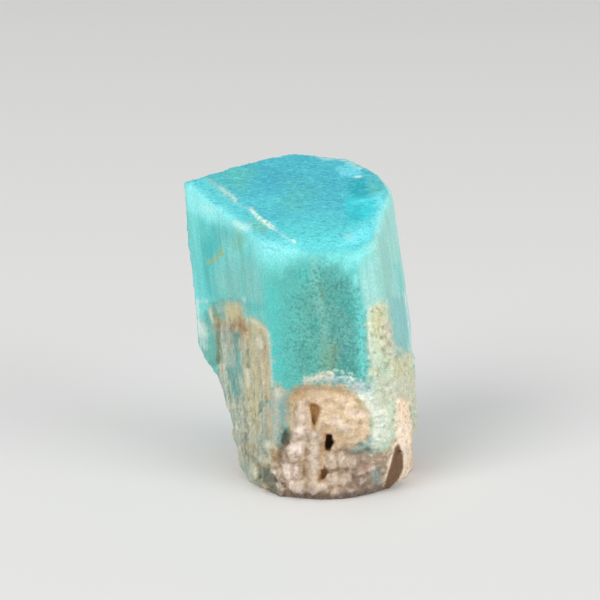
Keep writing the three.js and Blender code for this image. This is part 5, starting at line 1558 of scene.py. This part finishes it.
CRUST_PITS: tuple[tuple[float, Outline], ...] = (
    (0.3, ((13.1, -1.4), (13.6, -1.4))), (0.25, ((12.2, -1.9), (12.4, -2))),
    (0.3, ((13.9, -4.4), (14.1, -4.8))), (0.3, ((12.1, -5.9), (12.4, -6))),
    (0.3, ((14.4, -6.2), (14.6, -6.4))), (0.3, ((15.1, -7.4), (15.4, -7.7))),
    (0.25, ((13.9, -8.3), (14.2, -8.5))), (0.3, ((14.5, -10.7), (14.5, -11.4))),
    (0.2, ((15, -6.5), (15.1, -6.5))), (0.25, ((16.3, -9.7), (16.5, -9.9))),
)
CRUST_PATCHES: Patches = (
    Patch(Tint.CRUST_YELLOW, 0.8, 0.6, 0.85, ((12.2, -1.4), (13.6, -0.2), (14.8, -1), (15, -5.1),
        (15.3, -7.8), (13.9, -8.8), (12.1, -8.5), (11.9, -3.4))),
    Patch(Tint.CRUST_YELLOW, 0.6, 0.5, 0.8, ((12.4, -1), (14.1, -0.7), (14.5, -3.1), (14.1, -5.8),
        (12.4, -6.1))),
    Patch(Tint.CRUST_PINK, 0.6, 0.6, 0.9, ((14.3, -3.1), (15.1, -3.7), (16, -7.8), (14.8, -8.8),
        (13.8, -6.8)), other=Tint.CRUST_YELLOW, mottle=0.6, share=0.35),
    Patch(Tint.CRUST_PALE, 0.7, 0.6, 0.8, ((11.9, -6.3), (13.4, -6.5), (13.8, -10.2), (12.2, -10.9))),
    Patch(Tint.CRUST_GREEN, 1.0, 0.9, 0.55, ((12.1, -10.9), (14.3, -9.5), (15.6, -12.2), (15.3, -17),
        (12.6, -16.3))),
    Patch(Tint.CRUST_MOSS, 0.5, 0.5, 0.7, ((14.1, -8.5), (15, -9), (15.1, -11.2), (14.3, -11.6))),
    Patch(Tint.CRUST_PINK, 1.2, 1.0, 0.5, ((12.6, -12.6), (16.3, -13.6), (16.7, -17.3), (13.3, -17.3))),
    Patch(Tint.CRUST_YELLOW, 1.0, 0.9, 0.8, ((15.3, -9.5), (19, -9.2), (19.6, -13.3), (16, -13.6)),
        other=Tint.CRUST_PINK, mottle=1.0, share=0.4),
    Patch(Tint.CRUST_PINK, 1.0, 0.8, 0.7, ((16.7, -13.6), (19.9, -13.3), (19.9, -17.7), (16.7, -17.3)),
        other=Tint.CRUST, mottle=0.9, share=0.4),
    Patch(Tint.CRUST_PALE, 0.35, 0.3, 0.8, ((11.8, -1.4), (11.8, -6), (12.1, -8.5)), 0.4),
    Patch(Tint.CRUST_PINK, 0.4, 0.3, 0.7, ((19.4, -12.2), (19.6, -17.3)), 0.5),
    Patch(Tint.STRIP_BLUE, 0.5, 0.5, 0.4, ((16, -8.5), (17.9, -8.7), (17.2, -9.9), (16.3, -9.5))),
    Patch(Tint.STRIP, 0.5, 0.5, 0.75, ((18.7, -19.2), (19.9, -19.2), (19.7, -22.4), (18.7, -22.4))),
    Patch(Tint.OCHRE, 0.5, 0.5, 0.45, ((17, -17), (17.7, -18.4), (17, -20.1)), 0.5),
    Patch(Tint.OCHRE, 0.4, 0.4, 0.4, ((12.6, -11.7), (13.3, -12.2)), 0.6),
    *(Patch(Tint.CRUST_PIT, 0.22, 0.3, 0.7, line, width, size=0.35) for width, line in CRUST_PITS),
)


@dataclass
class Crust:
    """The granular crust on the right face, with its white terraces, and the rim above the rock."""

    proud: float = 0.4
    lumps: Relief = Relief((1.5, 1.5, 1.1), 0.3, 51)
    grains: Relief = Relief(0.6, 0.1, 52)
    pit_depth: float = 0.25
    pit_size: float = 0.9
    terrace_height: float = 0.3
    terrace_spacing: float = 1.15
    terrace_waver: float = 0.8
    rubbed_times: int = 8
    area: Patch = Patch(Tint.CRUST, 1.2, 1.3, 1.0, ((12.6, -1), (13.4, 0.2), (14.6, -0.5), (15.1, -3.1),
        (15.5, -5.8), (16.3, -7.7), (18, -9), (21.1, -8.5), (21.1, -23.8), (16.7, -23.8), (15.3, -25.3),
        (12.6, -26), (10.2, -25.2), (11.7, -23.3), (12.2, -21.1), (11.2, -18.4), (9.7, -16.5), (9.2, -15.6),
        (12.2, -16), (12.1, -12.2), (11.6, -8.5), (11.6, -3.1)))
    rim: Patch = Patch(Tint.LILAC, 0.3, 1.2, 0.8, ((0.7, -14.1), (2, -13.1), (4.1, -12.6), (6.1, -12.9),
        (8.5, -13.4), (10.5, -13.6), (12.2, -14.5), (12.6, -16.7), (9.9, -16.7), (8.5, -15.1), (6.1, -14.3),
        (3.1, -13.9)), size=(0.7, 0.7, 0.4), other=Tint.TEAL_GREEN, mottle=(0.8, 0.8, 0.4), share=0.42)
    terraces: Patches = TERRACES
    patches: Patches = CRUST_PATCHES
    # Painted shade between the grains and painted highlight on their tops.
    painted_relief_shading: Shades = (Shade(Tint.CRUST_PIT, -0.05, -0.28, 0.5), Shade(Tint.WHITE, 0.03, 0.16, 0.4))

    def where(self, skin: Skin) -> Array:
        """How much each point belongs to the crust or the rim."""
        return np.maximum(skin.weigh(self.area, 500), 0.8 * skin.weigh(self.rim, 501))

    def sculpt(self, skin: Skin) -> None:
        """Raises the crust, with its grains and terraces."""
        here = self.where(skin)
        pits = smoothstep(0.25, 0.5, skin.noise(here, grain, self.pit_size, 54))
        skin.push(skin.weigh(self.area, 500) * self.proud + skin.raised(here, self.lumps, self.grains)
                  - pits * self.pit_depth)
        for patch in self.terraces:
            weight = skin.weigh(patch, 510)
            skin.rub(weight, self.rubbed_times)
            warp = skin.noise(weight, grain, 1.6, 53)
            level = (skin.elevation[:, 1] / self.terrace_spacing + self.terrace_waver * warp) % 1.0
            skin.push(weight * self.terrace_height * (1.0 - level))

    def paint(self, skin: Skin) -> None:
        """Colours the crust, with painted shade between its grains and painted highlight on their tops."""
        here = self.where(skin)
        skin.lay((self.area, self.rim, *self.patches), 500)
        skin.shade(here, skin.relief(6), self.painted_relief_shading)
        skin.lay(self.terraces, 540)
        skin.mark(here, Look.GRANULAR)
        skin.mark(0.7 * here, Look.EARTHY)
        skin.cover(here)


@dataclass
class Rear:
    """The side away from the sight: cleaved faces, crusted lower down, and rock at the foot."""

    crust_top: float = 15.0
    rock_top: float = 6.5
    waver: float = 6.0
    cleavage: Relief = Relief((1.6, 1.6, 9.0), 0.16, 63, grain, streaked=True)
    lumps: Relief = Relief((3.4, 3.4, 2.4), 0.6, 64, clods)
    knobs: Relief = Relief((1.1, 1.1, 0.9), 0.25, 65, clods)
    streak_shades: Shades = (Shade(Tint.SEA_LIGHT, 0.05, 0.4, 0.6), Shade(Tint.SEA_SHADE, -0.05, -0.4, 0.6))
    crust_shades: Shades = (Shade(Tint.CRUST_GREEN, -0.4, 0.3, 1.0), Shade(Tint.CRUST_PINK, 0.1, 0.5, 0.7))
    rock_shades: Shades = (Shade(Tint.CLOD_LIGHT, 0.0, 0.3, 0.7),)
    # Painted shade in the creases of the crust.
    painted_relief_shading: Shades = (Shade(Tint.CLOD, -0.03, -0.25, 0.5),)

    def below(self, skin: Skin, height: float, seed: int) -> Array:
        """How much each unseen point is below a wavering height."""
        unseen = 1.0 - skin.seen
        level = height + self.waver * skin.noise(unseen, rubble, (7.0, 7.0, 6.0), seed)
        return unseen * smoothstep(0.8, -0.8, skin.places[:, 2] - level)

    def sculpt(self, skin: Skin, crown: Array) -> None:
        """Roughens the cleaved back and its foot."""
        rock = self.below(skin, self.rock_top, 61)
        crust = self.below(skin, self.crust_top, 62) - rock
        cleaved = (1.0 - skin.seen) * (1.0 - crown)
        sunk = (rock * self.lumps.height + crust * self.knobs.height) / 2
        skin.push(skin.raised(cleaved, self.cleavage) + skin.raised(rock, self.lumps)
                  + skin.raised(rock + crust, self.knobs) - sunk)

    def paint(self, skin: Skin) -> None:
        """Colours the back: streaked blue-green, then pale crust, then rock, with painted shade in the
        crust's creases.
        """
        unseen = 1.0 - skin.seen
        streaks = skin.noise(unseen, grain, (1.4, 1.4, 12.0), 66, skin.run)
        skin.shade(unseen, streaks, self.streak_shades)
        crust = self.below(skin, self.crust_top, 62)
        thinning = (skin.places[:, 2] - self.rock_top) / (self.crust_top - self.rock_top)
        spots = skin.noise(crust, rubble, (1.6, 1.6, 2.2), 67) + 0.55 - 0.6 * thinning
        skin.shade(crust, spots, self.crust_shades)
        rock = self.below(skin, self.rock_top, 61)
        skin.paint(rock, Tint.COLUMN)
        skin.shade(rock, skin.noise(rock, rubble, 2.2, 68), self.rock_shades)
        skin.shade(crust, skin.relief(FINE), self.painted_relief_shading)
        skin.mark(np.maximum(rock, 0.8 * crust), Look.GRANULAR, Look.EARTHY)


# The finish


class Nodes:
    """Adds shader nodes to a material in few words."""

    def __init__(self, material: bpy.types.Material) -> None:
        """Starts on a material's empty tree."""
        material.use_nodes = True
        self.tree = material.node_tree
        self.tree.nodes.clear()

    def add(self, kind: str, inputs: dict, **settings: object) -> bpy.types.Node:
        """Adds a node.

        Args:
            kind: The node's type.
            inputs: What goes into its sockets, by name or number: a socket or a value.
            settings: Its other properties.

        Returns:
            The node.
        """
        node = self.tree.nodes.new(kind)
        for name, value in settings.items():
            setattr(node, name, value)
        for name, value in inputs.items():
            if isinstance(value, Socket):
                self.tree.links.new(value, node.inputs[name])
            else:
                node.inputs[name].default_value = value
        return node

    def look(self, look: Look) -> Socket:
        """The weight of a kind of surface."""
        return self.add("ShaderNodeAttribute", {}, attribute_name=look.value).outputs["Fac"]

    def noise(self, at: Socket, scale: float, detail: float = 2.0) -> Socket:
        """Smooth noise, 0 to 1."""
        node = self.add("ShaderNodeTexNoise", {"Vector": at, "Scale": scale, "Detail": detail})
        return node.outputs["Fac"]

    def eased(self, value: Socket, low: float, high: float, to_low: float = 0.0,
              to_high: float = 1.0) -> Socket:
        """Maps one range on to another, clamped."""
        inputs = {0: value, 1: low, 2: high, 3: to_low, 4: to_high}
        return self.add("ShaderNodeMapRange", inputs, interpolation_type="SMOOTHSTEP").outputs[0]

    def sums(self, operation: str, first: Socket | float,
             second: Socket | float) -> Socket:
        """Adds, multiplies or otherwise combines two values."""
        return self.add("ShaderNodeMath", {0: first, 1: second}, operation=operation).outputs[0]

    def mixed(self, share: Socket | float, under: Socket,
              over: Socket | tuple, blend: str = "MIX") -> Socket:
        """Mixes a colour over another."""
        inputs = {"Factor": share, "A": under, "B": over}
        node = self.tree.nodes.new("ShaderNodeMix")
        node.data_type = "RGBA"
        node.blend_type = blend
        sockets = {socket.name: socket for socket in node.inputs if socket.enabled}
        for name, value in inputs.items():
            if isinstance(value, Socket):
                self.tree.links.new(value, sockets[name])
            else:
                sockets[name].default_value = value
        return next(socket for socket in node.outputs if socket.enabled)

    def surface(self, inputs: dict) -> None:
        """Adds the surface's shader and the output."""
        shader = self.add("ShaderNodeBsdfPrincipled", inputs)
        self.add("ShaderNodeOutputMaterial", {"Surface": shader.outputs[0]})


@dataclass(frozen=True)
class Amazonite:
    """The finish of the whole piece: glassy feldspar, fibrous streaks, granular crust and dull rock."""

    glassy: float = 0.48
    dull: float = 0.9
    refraction: float = 1.52
    streak: float = 0.07
    speckle: float = 0.1
    crumble: float = 0.11
    bump: float = 0.07

    def colour(self, nodes: Nodes, at: Socket, run: Socket) -> Socket:
        """The painted tint with its finest flecks, streaks and specks."""
        tint = nodes.add("ShaderNodeAttribute", {}, attribute_name="tint").outputs["Color"]
        wide = nodes.add("ShaderNodeMapping", {"Vector": at, "Scale": (0.42, 1.0, 1.0)}).outputs[0]
        for place, scale, low, high, share, fleck, look in (
            (wide, 2.8, 0.53, 0.64, 0.42, Tint.CROWN_FLECK, Look.FLECKED),
            (wide, 2.2, 0.5, 0.66, 0.34, Tint.CROWN_SPECK_AND_HIGHLIGHT, Look.FLECKED),
            (at, 1.9, 0.48, 0.62, 0.62, Tint.TEAL_GRAIN, Look.CLOUDED),
            (at, 2.3, 0.55, 0.68, 0.4, Tint.TEAL_BAND, Look.CLOUDED),
        ):
            flecks = nodes.eased(nodes.noise(place, scale, 3.0), low, high)
            weight = nodes.sums("MULTIPLY", nodes.sums("MULTIPLY", flecks, nodes.look(look)), share)
            tint = nodes.mixed(weight, tint, (*fleck.linear(), 1.0))
        for size, detail, place, spread, look in (
            (0.8, 3.0, run, self.streak, Look.FIBROUS), (1.1, 6.0, at, self.crumble, Look.GRANULAR),
        ):
            shade = nodes.eased(nodes.noise(place, size, detail), 0.32, 0.68, 1 - spread, 1 + spread)
            tint = nodes.mixed(nodes.look(look), tint, shade, "MULTIPLY")
        specks = nodes.eased(nodes.noise(at, 2.9, 5.0), 0.32, 0.68, 1 - self.speckle, 1 + self.speckle)
        return nodes.mixed(1.0, tint, specks, "MULTIPLY")

    def height(self, nodes: Nodes, at: Socket, run: Socket) -> Socket:
        """The finest relief, in shares of the bump."""
        fine = nodes.noise(at, 2.6, 5.0)
        threads = nodes.sums("MULTIPLY", nodes.noise(run, 1.4, 4.0), nodes.look(Look.FIBROUS))
        rough = nodes.eased(nodes.look(Look.EARTHY), 0.0, 1.0, 0.3, 1.8)
        return nodes.sums("MULTIPLY", nodes.sums("ADD", fine, threads), rough)

    def make(self) -> bpy.types.Material:
        """Makes the material."""
        material = bpy.data.materials.new("amazonite")
        nodes = Nodes(material)
        place = nodes.add("ShaderNodeTexCoord", {}).outputs["Object"]
        in_mm = 1.0 / MM
        at = nodes.add("ShaderNodeMapping", {"Vector": place, "Scale": (in_mm,) * 3}).outputs[0]
        turn = (-math.atan(RUN[1]), math.atan(RUN[0]), 0.0)
        straight = nodes.add("ShaderNodeMapping", {"Vector": at, "Rotation": turn}).outputs[0]
        run = nodes.add("ShaderNodeMapping", {"Vector": straight, "Scale": (1.0, 1.0, 0.1)}).outputs[0]
        bump = nodes.add("ShaderNodeBump", {
            "Height": self.height(nodes, at, run), "Distance": self.bump * MM, "Strength": 1.0,
        })
        nodes.surface({
            "Base Color": self.colour(nodes, at, run),
            "Roughness": nodes.eased(nodes.look(Look.EARTHY), 0.0, 1.0, self.glassy, self.dull),
            "IOR": self.refraction,
            "Normal": bump.outputs[0],
        })
        return material


# The piece and its studio


@dataclass
class Crystal:
    """The whole natural piece, crystal, crust and rock grown together."""

    prism: Prism = field(default_factory=Prism)
    crown: Crown = field(default_factory=Crown)
    sides: Sides = field(default_factory=Sides)
    breaks: Breaks = field(default_factory=Breaks)
    recess: Recess = field(default_factory=Recess)
    rock: RockFoot = field(default_factory=RockFoot)
    crust: Crust = field(default_factory=Crust)
    rear: Rear = field(default_factory=Rear)

    def rough_out(self) -> Solid:
        """Cuts and joins the plain solids, then skins them finely."""
        body = self.prism.build()
        first = [self.crown.sheet(self.prism), self.recess.cutter(self.prism), self.rock.bed(self.prism)]
        body.combine(first, "DIFFERENCE")
        body.combine(self.rock.mass(self.prism) + self.recess.fibre_solids(self.prism), "UNION")
        last = [
            self.crown.chip(self.prism), self.breaks.corner(), self.breaks.ledge(), *self.breaks.steps(),
            *self.rock.openings(), self.breaks.ground(),
        ]
        body.combine(last, "DIFFERENCE")
        return body.remesh(VOXEL)

    def build(self, finish: bpy.types.Material) -> bpy.types.Object:
        """Makes the piece.

        Args:
            finish: Its material.

        Returns:
            The piece, placed and dressed.
        """
        solid = self.rough_out()
        skin = Skin(solid)
        crown = self.crown.where(skin, self.prism)
        self.crust.sculpt(skin)
        self.rock.sculpt(skin)
        self.recess.sculpt(skin)
        self.crown.sculpt(skin, self.prism)
        self.sides.sculpt(skin, np.maximum(crown, self.rock.where(skin)))
        self.rear.sculpt(skin, crown)
        skin.places[:, 2] = np.maximum(skin.places[:, 2], 0.0)
        skin.measure()
        self.sides.paint(skin, self.prism)
        self.rear.paint(skin)
        self.crust.paint(skin)
        self.recess.paint(skin)
        self.rock.paint(skin)
        self.crown.paint(skin, self.prism)
        # Lays the painted edge highlights last, over every other colour.
        skin.lay(self.sides.edge_highlights_and_marks, 250)
        skin.write()
        piece = solid.piece
        piece.name = piece.data.name = "amazonite_crystal_visual"
        piece.data.materials.clear()
        piece.data.materials.append(finish)
        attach(piece, BODY)
        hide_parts(NODE)
        LOG.info("%s: %d points", piece.name, skin.count)
        return piece


@dataclass(frozen=True)
class Lamp:
    """A soft square lamp that looks at the crystal, in metres and watts."""

    name: str
    place: Triple
    size: float
    power: float
    colour: Triple = (1.0, 1.0, 1.0)


def aim(item: bpy.types.Object, place: Vector) -> None:
    """Puts a lamp or the camera in its place, looking at the crystal."""
    item.location = place
    item.rotation_euler = (Vector(SIGHT.target) * MM - item.location).to_track_quat("-Z", "Y").to_euler()


@dataclass
class Studio:
    """A pale floor, soft lamps and the camera."""

    floor_size: float = 4.0
    floor_colour: Triple = (0.8, 0.8, 0.79)
    floor_roughness: float = 0.55
    sky: float = 0.42
    lens: float = 150.0
    film: float = 36.0
    lamps: tuple[Lamp, ...] = (
        Lamp("key", (-1.05, -1.05, 1.26), 1.05, 18.0),
        Lamp("fill", (1.35, -0.9, 0.66), 1.05, 12.5),
        Lamp("overhead", (0.0, -0.3, 1.8), 1.35, 6.3),
    )

    def floor(self) -> bpy.types.Object:
        """Lays the floor."""
        bm = bmesh.new()
        bmesh.ops.create_grid(bm, x_segments=1, y_segments=1, size=self.floor_size / 2)
        mesh = bpy.data.meshes.new("floor")
        bm.to_mesh(mesh)
        bm.free()
        material = bpy.data.materials.new("floor")
        colour = (*self.floor_colour, 1.0)
        Nodes(material).surface({"Base Color": colour, "Roughness": self.floor_roughness})
        mesh.materials.append(material)
        return put("floor", mesh)

    def light(self) -> None:
        """Sets up the lamps and an even sky."""
        for lamp in self.lamps:
            data = bpy.data.lights.new(lamp.name, "AREA")
            data.shape = "SQUARE"
            data.size = lamp.size
            data.energy = lamp.power
            data.color = lamp.colour
            aim(put(lamp.name, data), Vector(lamp.place))
        world = bpy.data.worlds.new("sky")
        world.use_nodes = True
        background = world.node_tree.nodes["Background"]
        background.inputs["Color"].default_value = (1.0, 1.0, 1.0, 1.0)
        background.inputs["Strength"].default_value = self.sky
        bpy.context.scene.world = world

    def camera(self) -> None:
        """Places the camera on the line of sight."""
        data = bpy.data.cameras.new("camera")
        data.lens = self.lens
        data.sensor_width = self.film
        data.clip_start = 0.01
        camera = put("camera", data)
        aim(camera, Vector(SIGHT.eye()) * MM)
        bpy.context.scene.camera = camera


def main() -> None:
    """Builds the crystal, then the studio round it."""
    logging.basicConfig(level=logging.INFO, format="%(name)s: %(message)s")
    bpy.context.scene.view_settings.view_transform = "Standard"
    Crystal().build(Amazonite().make())
    studio = Studio()
    studio.floor()
    studio.light()
    studio.camera()
    LOG.info("sizes written")


if __name__ == "__main__":
    main()
